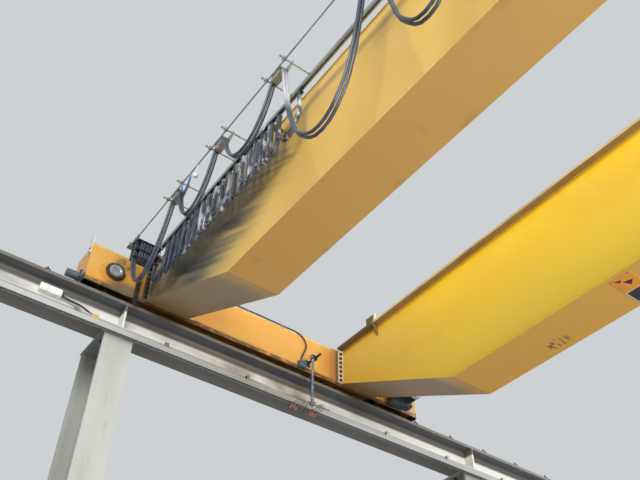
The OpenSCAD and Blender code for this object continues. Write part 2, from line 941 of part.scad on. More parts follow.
// A double-flanged travel wheel with its hub and axle, about X.
module travel_wheel() {
    half = wheel_width / 2;
    tread = tread_width / 2;
    rim = wheel_radius - 40;
    web = wheel_web / 2;
    axle = truck_width / 2 + housing_out - cover_plate - 1;
    rotate([0, 90, 0]) rotate_extrude($fn = fine) polygon([
        [0, -axle], [axle_radius, -axle], [axle_radius, -hub_length / 2], [hub_radius, -hub_length / 2],
        [hub_radius, -web], [rim, -web], [rim, -half], [wheel_radius + wheel_flange, -half],
        [wheel_radius + wheel_flange, -tread], [wheel_radius, -tread],
        [wheel_radius, tread], [wheel_radius + wheel_flange, tread],
        [wheel_radius + wheel_flange, half], [rim, half], [rim, web], [hub_radius, web],
        [hub_radius, hub_length / 2], [axle_radius, hub_length / 2], [axle_radius, axle], [0, axle]
    ]);
}

module front_left_wheel() {
    color("#5a5450") on_bridge() translate([-rail_x, -wheelbase / 2, wheel_z]) travel_wheel();
}

module back_left_wheel() {
    color("#5a5450") on_bridge() translate([-rail_x, wheelbase / 2, wheel_z]) travel_wheel();
}

module front_right_wheel() {
    color("#5a5450") on_bridge() translate([rail_x, -wheelbase / 2, wheel_z]) travel_wheel();
}

module back_right_wheel() {
    color("#5a5450") on_bridge() translate([rail_x, wheelbase / 2, wheel_z]) travel_wheel();
}

// Buffers, guards, sweepers, drives and the limit plate on the trucks.

module truck_buffers() {
    end = truck_length / 2;
    color("#aab4c8") on_bridge() both_x() both_y() translate([rail_x, end, buffer_z]) {
        block([-buffer_radius - 25, 0, -buffer_radius - 12],
            [buffer_radius + 25, buffer_plate, buffer_radius + 12]);
        rod([0, buffer_plate, 0], "y", buffer_length, buffer_radius);
    }
}

module rail_guards() {
    y = wheelbase / 2 - guard_from_axle;
    color("#3d3a37") on_bridge() both_x()
        block([truck_face - guard_plate, -y - guard_width / 2, truck_bottom - guard_drop],
            [truck_face, -y + guard_width / 2, truck_bottom - guard_drop + guard_height]);
}

module rail_sweepers() {
    end = truck_length / 2;
    color("#3d3a37") on_bridge() both_x() both_y() translate([rail_x, end, 0]) difference() {
        block([-truck_width / 2, 0, truck_bottom - sweeper_below],
            [truck_width / 2, sweeper_plate, buffer_z - buffer_radius - 20]);
        block([-rail_head / 2 - sweeper_gap, -1, truck_bottom - sweeper_below - 1],
            [rail_head / 2 + sweeper_gap, sweeper_plate + 1, rail_level + sweeper_gap]);
    }
}

// A gear motor hung on the inner face of the truck, at the back wheel.
module travel_drive() {
    x = truck_face - housing_out - 1;
    y = wheelbase / 2;
    front = y - gearbox_width / 2 - gearbox_shift;
    back = y + gearbox_width / 2 - gearbox_shift;
    top = wheel_z + gearbox_above;
    difference() {
        block([x - gearbox_depth, front, top - gearbox_height], [x, back, top]);
        rod([x - 20, y, wheel_z], "x", 30, axle_radius + 8);
    }
    rod([x - gearbox_depth - motor_length, y, wheel_z - motor_drop], "x", motor_length, motor_radius);
    block([x, front, wheel_z + housing_radius + 2], [truck_face, back, top]);
}

module travel_drives() {
    color("#2f4f6f") on_bridge() both_x() travel_drive();
}

module limit_plate() {
    end = truck_length / 2;
    color("#e9e9e4") on_bridge() translate([-truck_face - limit_width - 20, -end, 0])
        block([0, -8, truck_top - 120], [limit_width, 0, truck_top + limit_height]);
}

// Festoon: a taut wire and a slotted track along the front girder, with their brackets.

module festoon_track() {
    inner_w = track_width - 2 * track_wall;
    inner_h = track_depth - 2 * track_wall;
    wire_length = 2 * (wire_stop - bracket_plate);
    color("#8d8f8c") on_bridge() {
        rod([-wire_length / 2, wire_y, wire_z], "x", wire_length, wire_radius);
        translate([0, track_y, track_bottom]) wall_yz(-track_stop, 2 * track_stop) difference() {
            translate([-track_width / 2, 0]) square([track_width, track_depth]);
            translate([-inner_w / 2, track_wall]) square([inner_w, inner_h]);
            translate([-track_slot / 2, -1]) square([track_slot, track_wall + 2]);
        }
    }
}

// One end bracket: an arm out from the web and the plate that holds the wire.
module wire_bracket() {
    arm_z = wire_z - 3 * wire_radius;
    block([wire_stop - bracket_plate, wire_y - 4 * wire_radius, arm_z],
        [wire_stop, -outer_web, wire_z + 3 * wire_radius]);
    block([wire_stop, wire_y - 4 * wire_radius, arm_z],
        [wire_stop + bracket_width, -outer_web, arm_z + bracket_plate]);
}

module festoon_brackets() {
    count = floor(2 * (track_stop - bracket_width) / bracket_pitch);
    edge = track_y + track_width / 2;
    color("#8d8f8c") on_bridge() {
        both_x() wire_bracket();
        for (i = [0 : count]) translate([(i - count / 2) * bracket_pitch - bracket_width / 2, 0, 0]) {
            block([0, edge, track_bottom], [bracket_width, edge + bracket_plate, track_top]);
            block([0, edge + bracket_plate, track_bottom],
                [bracket_width, -outer_web, track_bottom + bracket_plate]);
        }
    }
}

// A roller about Y with a groove for the wire, at the origin.
module roller() {
    half = roller_width / 2;
    rim = roller_radius + 6;
    rotate([-90, 0, 0]) rotate_extrude($fn = small) polygon([
        [0, -half], [rim, -half], [rim, -half + 3], [roller_radius, -half + 5],
        [roller_radius, half - 5], [rim, half - 3], [rim, half], [0, half]
    ]);
}

// One trolley: two axles across wire and track, their rollers, a plate and the saddle.
module cable_trolley() {
    half = trolley_axles / 2;
    inside = lane_y + cable_radius * 2 + cable_gap + 4;
    start = wire_y - roller_width - 10;
    for (x = [-half, half]) translate([x, 0, axle_z]) {
        rod([0, start, 0], "y", track_y + roller_width - start, trolley_axle);
        translate([0, wire_y, 0]) roller();
        rod([0, track_y - roller_width / 2, 0], "y", roller_width, roller_radius);
    }
    wall_xz(inside, bracket_plate) polygon([
        [-half - 20, axle_z + 16], [half + 20, axle_z + 16], [half + 20, axle_z - 16],
        [saddle_radius, saddle_z - 12], [-saddle_radius, saddle_z - 12], [-half - 20, axle_z - 16]
    ]);
    difference() {
        rod([0, lane_y - cable_radius * 2 - 2, saddle_z], "y",
            inside - lane_y + cable_radius * 2 + 2, saddle_radius - cable_radius - festoon_seat);
        block([-saddle_radius, lane_y - cable_radius * 3, saddle_z - saddle_radius],
            [saddle_radius, inside + 1, saddle_z - 12]);
    }
}

module cable_trolleys() {
    color("#a8aaa6") on_bridge() for (x = trolley_xs) translate([x, 0, 0]) cable_trolley();
}

// A straight leg of round cable between two heights.
module round_leg(x, low, high) {
    translate([x, 0, low]) cylinder(h = high - low, r = cable_radius, $fn = cable_round);
}

// One loop of round cable: two straight legs and a round bottom.
module cable_loop(from, to, left, right, bottom) {
    bend = (to - from) / 2;
    low = bottom + bend;
    round_leg(from, low, left);
    round_leg(to, low, right);
    translate([from + bend, 0, low]) rotate([-90, 0, 0])
        rotate_extrude(angle = 180, $fn = loop_round)
            translate([bend, 0]) circle(r = cable_radius, $fn = cable_round);
}

// The cable's arch over a saddle.
module cable_arch() {
    rotate([90, 0, 0]) rotate_extrude(angle = 180, $fn = loop_round)
        translate([saddle_radius, 0]) circle(r = cable_radius, $fn = cable_round);
}

// A round cable from the end clamp over every saddle to the tow arm.
module round_cable() {
    last = len(trolley_xs) - 1;
    near = saddle_z - near_depth;
    wide = saddle_z - wide_depth;
    cable_loop(end_clamp_x, trolley_xs[0] - saddle_radius, clamp_bottom, saddle_z,
        saddle_z - first_depth);
    for (x = trolley_xs) translate([x, 0, saddle_z]) cable_arch();
    for (i = [0 : last - 1])
        cable_loop(trolley_xs[i] + saddle_radius, trolley_xs[i + 1] - saddle_radius,
            saddle_z, saddle_z, i < 2 ? near : wide);
    cable_loop(trolley_xs[last] + saddle_radius, tow_x, saddle_z, saddle_z, wide);
}

module festoon_cables() {
    color("#2a2b2f") on_bridge() for (y = cable_ys) translate([0, y, 0]) round_cable();
}

// A carrier: a runner in the track, a stem through its slot and a plate that clamps the flat cable.
module cable_carrier() {
    seat = track_bottom + track_wall + carrier_play;
    half = flat_width / 2 + 5;
    block([-20, track_y - track_slot / 3, flat_top + carrier_plate], [20, track_y + track_slot / 3, seat]);
    block([-20, track_y - track_slot, seat], [20, track_y + track_slot, seat + 3 * carrier_plate]);
    block([-26, track_y - half, flat_top], [26, track_y + half, flat_top + carrier_plate]);
}

// The clamp where all cables start, hung on the left wire bracket.
module cable_clamp() {
    front = lane_y - 2 * cable_radius - cable_gap;
    block([end_clamp_x - clamp_length / 2, front, clamp_bottom],
        [end_clamp_x + clamp_length / 2, track_y + flat_width, clamp_top]);
}

module cable_carriers() {
    color("#26262a") on_bridge() {
        for (x = carrier_xs) translate([x, 0, 0]) cable_carrier();
        cable_clamp();
    }
}

// A loop of flat cable between two heights, hanging from x = 0 and from x = width.
module flat_loop(width, left, right, bottom) {
    bend = width / 2;
    translate([0, track_y, 0]) {
        for (end = [[0, left], [width, right]])
            translate([end[0] - flat_thick / 2, -flat_width / 2, bottom + bend])
                cube([flat_thick, flat_width, end[1] - bottom - bend]);
        translate([bend, 0, bottom + bend]) rotate([-90, 0, 0])
            rotate_extrude(angle = 180, $fn = fine) translate([bend, 0])
                square([flat_thick, flat_width], center = true);
    }
}

module flat_cables() {
    bottom = flat_top - loop_depth;
    start = end_clamp_x + clamp_length / 4;
    color("#6d7076") on_bridge() {
        translate([start, 0, 0])
            flat_loop(carrier_xs[0] - flat_offset - start, clamp_bottom, flat_top, bottom);
        for (i = [0 : loops])
            translate([carrier_xs[i] + flat_offset, 0, 0])
                flat_loop(carrier_xs[i + 1] - carrier_xs[i] - 2 * flat_offset, flat_top, flat_top, bottom);
    }
}

// The crab's arm that tows the cables.
module tow_arm() {
    front = lane_y - 2 * cable_radius - cable_gap;
    inside = lane_y + 2 * cable_radius + cable_gap;
    bar = 50;
    color("#7d7f7c") on_bridge() {
        block([tow_x - bar, front, saddle_z], [tow_x + bar, inside, saddle_z + bracket_plate]);
        block([tow_x - bar / 2, inside - bar, saddle_z + bracket_plate],
            [tow_x + bar / 2, inside, crab_deck - 2 * bar]);
        block([tow_x - bar / 2, inside - bar, crab_deck - 2 * bar],
            [tow_x + bar / 2, -crab_side, crab_deck - bar]);
    }
}

// Collector: a bar on the left truck, the arm that hangs from it, the carriage and its two shoes.

module collector_bracket() {
    bar_y = arm_y + arm_radius + bar_radius;
    half = arm_clamp / 2;
    z = arm_top - half;
    color("#2b2c2e") on_bridge() {
        block([-truck_face, bar_y - 2.5 * bar_radius, z - 3 * bar_radius],
            [-truck_face + guard_plate / 2, bar_y + 2.5 * bar_radius, z + 3 * bar_radius]);
        rod([-truck_face + guard_plate / 2, bar_y, z], "x", arm_out + bar_past - guard_plate / 2, bar_radius);
        difference() {
            block([arm_x - half, arm_y - half, z - half], [arm_x + half, bar_y + half, z + half]);
            rod([arm_x, arm_y, z - arm_clamp], "z", 2 * arm_clamp, arm_radius + arm_play);
        }
    }
}

module collector_arm() {
    start = carriage_z + arm_clamp / 2;
    color("#7f8a93") on_bridge() rod([arm_x, arm_y, start], "z", arm_top - start, arm_radius);
}

module collector_carriage() {
    half = arm_clamp / 2;
    color("#8b9298") on_bridge() {
        rod([arm_x, arm_y - carriage_length / 2, carriage_z], "y", carriage_length, carriage_radius);
        block([arm_x - half, arm_y - half, carriage_z - half],
            [arm_x + half, arm_y + half, carriage_z + half]);
        for (y = shoe_ys)
            for (dy = [-pin_pitch / 2, pin_pitch / 2])
                rod([conductor_x + shoe_half, y + dy, carriage_z], "x",
                    arm_x - conductor_x - shoe_half, pin_radius);
    }
}

module collector_shoes() {
    color("#b5735a") on_bridge() for (y = shoe_ys)
        block([conductor_x - shoe_half, y - shoe_length / 2, shoe_top - shoe_height],
            [conductor_x + shoe_half, y + shoe_length / 2, shoe_top]);
}

module collector_box() {
    color("#7b8894") on_bridge() block([-truck_face, box_y - box_width / 2, box_bottom],
        [-truck_face + box_depth, box_y + box_width / 2, box_bottom + box_height]);
}

// Cable from the box up the truck, along its top edge and over to the festoon's clamp.
module collector_cable() {
    r = collector_cable_radius;
    x = -truck_face + r + 0.5;
    z = truck_top + r + festoon_seat;
    box_top = box_bottom + box_height;
    turn_y = track_y - flat_width / 2;
    back_y = box_y - cable_bend;
    front_y = turn_y + cable_bend;
    down = z - cable_bend;
    color("#1c1c1e") on_bridge() {
        rod([x, box_y, box_top], "z", down - box_top, r);
        translate([x, back_y, down]) rotate([90, 0, 90]) quarter_bend(cable_bend, r);
        rod([x, front_y, z], "y", back_y - front_y, r);
        translate([x + cable_bend, front_y, z]) rotate([0, 0, 180]) quarter_bend(cable_bend, r);
        rod([x + cable_bend, turn_y, z], "x", end_clamp_x - x - 2 * cable_bend, r);
        translate([end_clamp_x - cable_bend, turn_y, down]) rotate([90, 0, 0]) quarter_bend(cable_bend, r);
        rod([end_clamp_x, turn_y, clamp_top], "z", down - clamp_top, r);
    }
}

module sign_plate() {
    color("#e8791e") on_bridge() block(
        [-sign_place, girder_y - sign_width / 2, girder_bottom - sign_thick],
        [-sign_place + sign_length, girder_y + sign_width / 2, girder_bottom]);
}

// Crab: frame on four wheels, drum, drive, ropes and hook block.

module crab_side_beams() {
    pocket = crab_rail_width / 2 + 20;
    low = crab_axle_z - crab_below;
    color("#d9a92a") on_bridge() translate([crab_x, 0, 0]) both_y() {
        difference() {
            block([-crab_half, crab_inside, low], [crab_half, crab_side, crab_deck]);
            for (x = [-crab_wheelbase / 2, crab_wheelbase / 2])
                block([x - crab_wheel - 20, crab_rail_y - pocket, low - 1],
                    [x + crab_wheel + 20, crab_rail_y + pocket, crab_deck - 12]);
        }
        block([-60, drum_end, crab_deck], [60, drum_end + drum_bearing, drum_z + 60]);
        block([-60, drum_end, crab_deck - 60], [60, crab_inside, crab_deck]);
    }
}

module crab_cross_beams() {
    color("#d9a92a") on_bridge() translate([crab_x, 0, 0]) both_x()
        block([crab_half - crab_beam, -crab_inside, crab_deck - crab_beam],
            [crab_half, crab_inside, crab_deck]);
}

module crab_wheels() {
    half = crab_rail_width / 2 + 4;
    color("#5a5450") on_bridge() translate([crab_x, 0, crab_axle_z])
        for (x = [-crab_wheelbase / 2, crab_wheelbase / 2])
            for (y = [-crab_rail_y, crab_rail_y]) translate([x, y, 0]) {
                rod([0, -half, 0], "y", 2 * half, crab_wheel - festoon_seat);
                for (dy = [-half - 10, half]) rod([0, dy, 0], "y", 10, crab_wheel + 15);
                rod([0, -crab_rail_width / 2 - 20, 0], "y", crab_rail_width + 40, 25);
            }
}

module hoist_drum() {
    end = drum_end - drum_flange_plate;
    color("#6b6f73") on_bridge() translate([crab_x, 0, drum_z]) {
        difference() {
            rod([0, -end, 0], "y", 2 * end, drum_radius);
            rod([0, -end + drum_shell, 0], "y", 2 * (end - drum_shell), drum_radius - drum_shell);
        }
        both_y() {
            rod([0, end, 0], "y", drum_flange_plate, 50);
            rod([0, end - drum_flange_plate, 0], "y", drum_flange_plate, drum_radius + drum_flange);
        }
    }
}

module hoist_drive() {
    motor_x = drum_radius + drum_flange + hoist_motor_radius + 40;
    color("#2f4f6f") on_bridge() translate([crab_x, 0, 0]) {
        block([-hoist_gearbox_depth, crab_inside, crab_deck],
            [motor_x + hoist_motor_radius, crab_inside + hoist_gearbox_depth, drum_z + crab_wheel]);
        rod([motor_x, crab_inside - hoist_motor_length, crab_deck + hoist_motor_radius + 30], "y",
            hoist_motor_length, hoist_motor_radius);
    }
}

module hoist_ropes() {
    low = hook_level + pulley_height + pulley_radius;
    color("#55504a") on_bridge() translate([crab_x, 0, 0]) for (y = rope_ys)
        rod([rope_x, y, low], "z", drum_z - low, rope_radius);
}

// Hook block: four pulleys between two cheeks, the swivel and the hook.
module hook_block() {
    cheek = rope_ys[3] + pulley_width + 8;
    low = pulley_height - pulley_radius - 40;
    color("#d2a025") on_bridge() translate([crab_x + rope_x, 0, hook_level]) {
        for (y = rope_ys) rod([0, y - pulley_width / 2, pulley_height], "y", pulley_width, pulley_radius);
        rod([0, -cheek, pulley_height], "y", 2 * cheek, 30);
        both_y() block([-80, cheek, low], [80, cheek + 14, pulley_height + pulley_radius + 20]);
        block([-80, -cheek, low], [80, cheek, low + 40]);
        rod([0, 0, 230], "z", low - 230, 45);
        rod([0, 0, 120], "z", 110, 30);
        translate([0, 0, 22]) rotate([-90, 0, 180])
            rotate_extrude(angle = 270, $fn = fine) translate([98, 0]) circle(r = 30, $fn = small);
    }
}
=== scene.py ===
import bpy
import random
from math import asinh, cos, cosh, pi, radians, sin, sinh
from mathutils import Matrix, Vector


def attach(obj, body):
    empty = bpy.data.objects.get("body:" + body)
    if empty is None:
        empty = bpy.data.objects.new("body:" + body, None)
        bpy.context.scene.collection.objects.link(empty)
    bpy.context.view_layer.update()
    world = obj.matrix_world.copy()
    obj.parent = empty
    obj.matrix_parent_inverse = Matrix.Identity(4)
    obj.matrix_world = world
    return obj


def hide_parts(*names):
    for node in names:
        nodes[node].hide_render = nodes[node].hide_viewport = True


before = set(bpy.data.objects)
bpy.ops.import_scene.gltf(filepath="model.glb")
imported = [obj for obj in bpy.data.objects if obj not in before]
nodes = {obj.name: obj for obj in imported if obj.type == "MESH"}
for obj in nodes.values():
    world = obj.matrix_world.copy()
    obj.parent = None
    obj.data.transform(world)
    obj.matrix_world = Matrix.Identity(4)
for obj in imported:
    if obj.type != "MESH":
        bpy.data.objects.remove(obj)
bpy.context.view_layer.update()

# Camera: stands low on the hall floor under the bridge and looks up along the left girder
# end, so both girders' undersides, one end truck and the runway beam fill the frame.
EYE = Vector((-2.638, -4.553, 1.6))
HEADING = radians(143.94)
PITCH = radians(43.5)
ROLL = radians(0.81)
FOCAL_PIXELS = 758.99
IMAGE_WIDTH = 640
SENSOR = 36.0

camera_data = bpy.data.cameras.new("hall_camera")
camera_data.sensor_width = SENSOR
camera_data.lens = SENSOR * FOCAL_PIXELS / IMAGE_WIDTH
camera_data.clip_end = 200.0
camera_data.dof.use_dof = False
camera = bpy.data.objects.new("hall_camera", camera_data)
bpy.context.scene.collection.objects.link(camera)
turn = Matrix.Rotation(HEADING - pi / 2, 4, "Z") @ Matrix.Rotation(pi / 2 + PITCH, 4, "X")
camera.matrix_world = Matrix.Translation(EYE) @ turn @ Matrix.Rotation(ROLL, 4, "Z")
bpy.context.scene.camera = camera

# Studio: a plain pale floor under a pale sky dome, with a soft lamp high at the front and
# another at the back. A weak lamp low under the bridge keeps some colour in the undersides.
FLOOR_SIDE = 90.0
FLOOR_COLOUR = "#DAD8D4"
SKY_COLOUR = "#CDD1D4"
SKY_LIGHT = 0.50
LAMP_AIM = Vector((-5.0, -0.8, 6.5))
LAMPS = [
    ("key_lamp", (5.0, -14.0, 12.0), 9.0, 3000.0, 180),
    ("side_lamp", (6.0, -1.0, 3.0), 6.0, 520.0, 100),
    ("back_lamp", (-1.0, 13.0, 12.0), 9.0, 1000.0, 180),
]
BOTH = (-1, 1)


def linear(code):
    parts = [int(code[i:i + 2], 16) / 255 for i in (1, 3, 5)]
    low_high = [p / 12.92 if p <= 0.04045 else ((p + 0.055) / 1.055) ** 2.4 for p in parts]
    return (*low_high, 1.0)


def add_node(tree, kind, inputs=None, **settings):
    made = tree.nodes.new(kind)
    for name, value in settings.items():
        setattr(made, name, value)
    for name, value in (inputs or {}).items():
        socket = made.inputs[name]
        if isinstance(value, bpy.types.NodeSocket):
            tree.links.new(value, socket)
        else:
            socket.default_value = value
    return made


def new_material(name):
    material = bpy.data.materials.new(name)
    material.use_nodes = True
    shader = next(n for n in material.node_tree.nodes if n.type == "BSDF_PRINCIPLED")
    return material, material.node_tree, shader


def select_only(piece):
    bpy.ops.object.select_all(action="DESELECT")
    piece.select_set(True)
    bpy.context.view_layer.objects.active = piece


def apply_place(piece, name):
    select_only(piece)
    bpy.ops.object.transform_apply(location=True, rotation=True, scale=True)
    piece.name = name
    piece.data.name = name
    return piece


def shade_smooth(piece, degrees):
    select_only(piece)
    bpy.ops.object.shade_smooth_by_angle(angle=radians(degrees))


bpy.ops.object.select_all(action="DESELECT")
bpy.ops.mesh.primitive_plane_add(size=FLOOR_SIDE, location=(0, 0, -0.002))
floor = apply_place(bpy.context.object, "studio_floor")
floor_paint, tree, shader = new_material("floor_paint")
shader.inputs["Base Color"].default_value = linear(FLOOR_COLOUR)
shader.inputs["Roughness"].default_value = 0.8
floor.data.materials.append(floor_paint)

world = bpy.data.worlds.new("studio_sky")
bpy.context.scene.world = world
world.use_nodes = True
tree = world.node_tree
background = next(n for n in tree.nodes if n.type == "BACKGROUND")
rays = add_node(tree, "ShaderNodeLightPath")
seen = add_node(tree, "ShaderNodeMath", {
    0: rays.outputs["Is Camera Ray"], 1: rays.outputs["Is Glossy Ray"]}, operation="MAXIMUM")
level = add_node(tree, "ShaderNodeMapRange", {
    "Value": seen.outputs[0], "To Min": SKY_LIGHT, "To Max": 1.0})
background.inputs["Color"].default_value = linear(SKY_COLOUR)
tree.links.new(level.outputs["Result"], background.inputs["Strength"])

for name, place, size, power, spread in LAMPS:
    lamp_data = bpy.data.lights.new(name, "AREA")
    lamp_data.energy = power
    lamp_data.size = size
    lamp_data.spread = radians(spread)
    lamp = bpy.data.objects.new(name, lamp_data)
    bpy.context.scene.collection.objects.link(lamp)
    lamp.location = place
    lamp.rotation_euler = (LAMP_AIM - Vector(place)).to_track_quat("-Z", "Y").to_euler()
bpy.context.scene.view_settings.view_transform = "Standard"


def film(tint, cover, size=None, **where):
    """A layer of dirt, painted shade or painted light for coat(): its tint and how much it covers.
    It may have the size in metres of its cloudy pattern, the pattern's turn about Y and the noise
    values between which it sets in, a patch (centre and reach) that it stays in, with the core
    that it covers in full, and the side that it lies on."""
    if size:
        where["size"] = size if isinstance(size, tuple) else (size, size, size)
    return {"tint": tint, "cover": cover, **where}


def coat(name, colour, layers=(), roughness=0.45, metallic=0.0, grain=0.012, lumps=0.0006):
    """A painted or bare surface with films of dirt, painted shade and painted light laid over it,
    one on another.
    """
    material, tree, shader = new_material(name)
    place = add_node(tree, "ShaderNodeTexCoord").outputs["Object"]
    normal = add_node(tree, "ShaderNodeNewGeometry").outputs["Normal"]
    facing_up = add_node(tree, "ShaderNodeSeparateXYZ", {0: normal}).outputs["Z"]

    def times(one, other, clamp=False):
        if one is None:
            return other
        return add_node(tree, "ShaderNodeMath", {0: one, 1: other}, operation="MULTIPLY",
                        use_clamp=clamp).outputs[0]

    def ramp(value, low, high, **settings):
        return add_node(tree, "ShaderNodeMapRange", {
            "Value": value, "From Min": low, "From Max": high}, **settings).outputs["Result"]

    tint = linear(colour)
    for layer in layers:
        amount = None
        if "size" in layer:
            pattern = add_node(tree, "ShaderNodeMapping", {
                "Vector": place, "Scale": layer["size"],
                "Rotation": (0, radians(layer.get("turn", 0)), 0)}, vector_type="TEXTURE")
            cloud = add_node(tree, "ShaderNodeTexNoise", {
                "Vector": pattern.outputs["Vector"], "Scale": 1.0, "Detail": 5.0})
            amount = ramp(cloud.outputs["Fac"], *layer.get("between", (0.42, 0.68)))
        if "patch" in layer:
            centre, reach = layer["patch"]
            inside = add_node(tree, "ShaderNodeMapping", {
                "Vector": place, "Location": centre, "Scale": reach}, vector_type="TEXTURE")
            away = add_node(tree, "ShaderNodeVectorMath", {
                0: inside.outputs["Vector"]}, operation="LENGTH")
            amount = times(amount, ramp(away.outputs["Value"], 1.0, layer.get("core", 0.45),
                                        interpolation_type="SMOOTHSTEP"))
        if "side" in layer:
            turn_to = {"under": (-0.3, -0.8), "top": (0.3, 0.8)}[layer["side"]]
            amount = times(amount, ramp(facing_up, *turn_to))
        tint = add_node(tree, "ShaderNodeMix", {
            "Factor": times(amount, layer["cover"], clamp=True), "A": tint,
            "B": linear(layer["tint"])}, data_type="RGBA").outputs["Result"]
    if layers:
        tree.links.new(tint, shader.inputs["Base Color"])
    else:
        shader.inputs["Base Color"].default_value = tint
    skin = add_node(tree, "ShaderNodeTexNoise", {
        "Vector": place, "Scale": 1.0 / grain, "Detail": 2.0})
    relief = add_node(tree, "ShaderNodeBump", {
        "Height": skin.outputs["Fac"], "Strength": 0.5, "Distance": lumps})
    tree.links.new(relief.outputs["Normal"], shader.inputs["Normal"])
    gloss = add_node(tree, "ShaderNodeMapRange", {
        "Value": skin.outputs["Fac"], "To Min": roughness - 0.06, "To Max": roughness + 0.06})
    tree.links.new(gloss.outputs["Result"], shader.inputs["Roughness"])
    shader.inputs["Metallic"].default_value = metallic
    return material


def dress(material, *names):
    for node_name in names:
        mesh = nodes[node_name].data
        mesh.materials.clear()
        mesh.materials.append(material)


def joined(pieces, name):
    bpy.ops.object.select_all(action="DESELECT")
    for piece in pieces:
        piece.select_set(True)
    bpy.context.view_layer.objects.active = pieces[0]
    if len(pieces) > 1:
        bpy.ops.object.join()
    return apply_place(pieces[0], name)


def edit(piece, kind, test):
    """Opens a piece for editing with just the faces or edges that pass the test."""
    select_only(piece)
    bpy.ops.object.mode_set(mode="EDIT")
    bpy.ops.mesh.select_mode(type=kind)
    bpy.ops.mesh.select_all(action="DESELECT")
    bpy.ops.object.mode_set(mode="OBJECT")
    for part in piece.data.polygons if kind == "FACE" else piece.data.edges:
        part.select = test(part)
    bpy.ops.object.mode_set(mode="EDIT")


def close_edit():
    bpy.ops.mesh.select_all(action="DESELECT")
    bpy.ops.object.mode_set(mode="OBJECT")


def bevelled(piece, offset, segments, kind="EDGE", test=lambda part: True):
    edit(piece, kind, test)
    bpy.ops.mesh.bevel(offset=offset, segments=segments)
    close_edit()
    return piece


def block(low, high, name, rounding=0.003, segments=2):
    """A box between two corners with its edges rounded over."""
    low, high = Vector(low), Vector(high)
    bpy.ops.object.select_all(action="DESELECT")
    bpy.ops.mesh.primitive_cube_add(size=1.0, location=(low + high) / 2)
    made = bpy.context.object
    made.scale = high - low
    made = apply_place(made, name)
    return bevelled(made, rounding, segments) if rounding else made


def sided_block(side, near, far, name, rounding=0.003, segments=2):
    """A block whose corners are written for the +X side, set on either side."""
    xs = sorted((side * near[0], side * far[0]))
    return block((xs[0], *near[1:]), (xs[1], *far[1:]), name, rounding, segments)


def shift(piece, test, step):
    """Moves those points of a piece whose places pass the test."""
    for point in piece.data.vertices:
        if test(point.co):
            point.co += Vector(step)


def upright(sides, radius, depth, low, name):
    bpy.ops.object.select_all(action="DESELECT")
    bpy.ops.mesh.primitive_cylinder_add(vertices=sides, radius=radius, depth=depth,
                                        location=(0, 0, low + depth / 2))
    return apply_place(bpy.context.object, name)


def hexagon_bolt(across, stud=0.0):
    """A hexagon head or nut on its washer, at the origin and pointing up."""
    washer = across * 0.14
    head = across * 0.62
    hexagon = upright(6, across * 0.577, head, washer, "bolt_head")
    bevelled(hexagon, across * 0.07, 1, "FACE", lambda face: face.normal.z > 0.9)
    parts = [hexagon, upright(14, across * 0.95, washer, 0.0, "bolt_washer")]
    if stud:
        parts.append(upright(10, across * 0.33, stud, washer + head, "bolt_stud"))
    return joined(parts, "bolt_pattern")


def at(place, facing=(0, 0, 1)):
    return Matrix.Translation(place) @ Vector(facing).to_track_quat("Z", "Y").to_matrix().to_4x4()


def set_out(pattern, places, name):
    """Copies a pattern piece to every place, makes them one piece and drops the pattern."""
    copies = []
    for place in places:
        copy = bpy.data.objects.new(name, pattern.data.copy())
        copy.data.transform(place)
        bpy.context.scene.collection.objects.link(copy)
        copies.append(copy)
    bpy.data.objects.remove(pattern)
    return joined(copies, name)


def fit(piece, material, slot, *stands_for, body="bridge"):
    piece.data.materials.clear()
    piece.data.materials.append(material)
    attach(piece, body)
    if stands_for:
        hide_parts(*stands_for)
    return piece


def turned(profile, name, steps=32):
    """A part turned on a lathe about Z from its outline of (radius, height) points."""
    mesh = bpy.data.meshes.new(name)
    chain = [(i, i + 1) for i in range(len(profile) - 1)]
    mesh.from_pydata([(radius, 0.0, height) for radius, height in profile], chain, [])
    made = bpy.data.objects.new(name, mesh)
    bpy.context.scene.collection.objects.link(made)
    edit(made, "EDGE", lambda edge: True)
    bpy.ops.mesh.spin(steps=steps, angle=2 * pi, center=(0, 0, 0), axis=(0, 0, 1))
    bpy.ops.mesh.select_all(action="SELECT")
    bpy.ops.mesh.remove_doubles(threshold=0.00005)
    bpy.ops.mesh.normals_make_consistent(inside=False)
    close_edit()
    shade_smooth(made, 35)
    return made


def fit_turned(profile, place, name, steps, material, slot, *stands_for, body="bridge"):
    part = turned(profile, name, steps)
    part.data.transform(place)
    fit(apply_place(part, name), material, slot, *stands_for, body=body)


def swept(routes, radius, name, sides, steps=4, bent=True, widths=None, half_width=0.0):
    """What lies along routes of points, as one mesh: round, or a flat strip if it has a half
    width, and in smooth bends or with sharp corners."""
    shape = bpy.data.curves.new(name, "CURVE")
    shape.dimensions = "2D" if half_width else "3D"
    shape.extrude = half_width
    shape.bevel_depth = radius
    shape.bevel_resolution = sides
    shape.resolution_u = steps
    shape.use_fill_caps = not half_width
    for route in routes:
        spline = shape.splines.new("BEZIER" if bent else "POLY")
        points = spline.bezier_points if bent else spline.points
        points.add(len(route) - 1)
        for point, place in zip(points, route):
            point.co = place if bent else (*place, 1.0)
            if bent:
                point.handle_left_type = "AUTO"
                point.handle_right_type = "AUTO"
        for point, width in zip(points, widths or ()):
            point.radius = width
    made = bpy.data.objects.new(name, shape)
    bpy.context.scene.collection.objects.link(made)
    select_only(made)
    bpy.ops.object.convert(target="MESH")
    return bpy.context.object


def cable(routes, radius, name, sides=3, steps=4):
    """Round cables or rods through the given points, as one mesh."""
    made = swept(routes, radius, name, sides, steps)
    shade_smooth(made, 60)
    return apply_place(made, name)


def straight(routes, radius, name, sides=1):
    """Rods or weld beads with sharp corners through the given points, as one mesh."""
    made = swept(routes, radius, name, sides, bent=False)
    shade_smooth(made, 60)
    return apply_place(made, name)


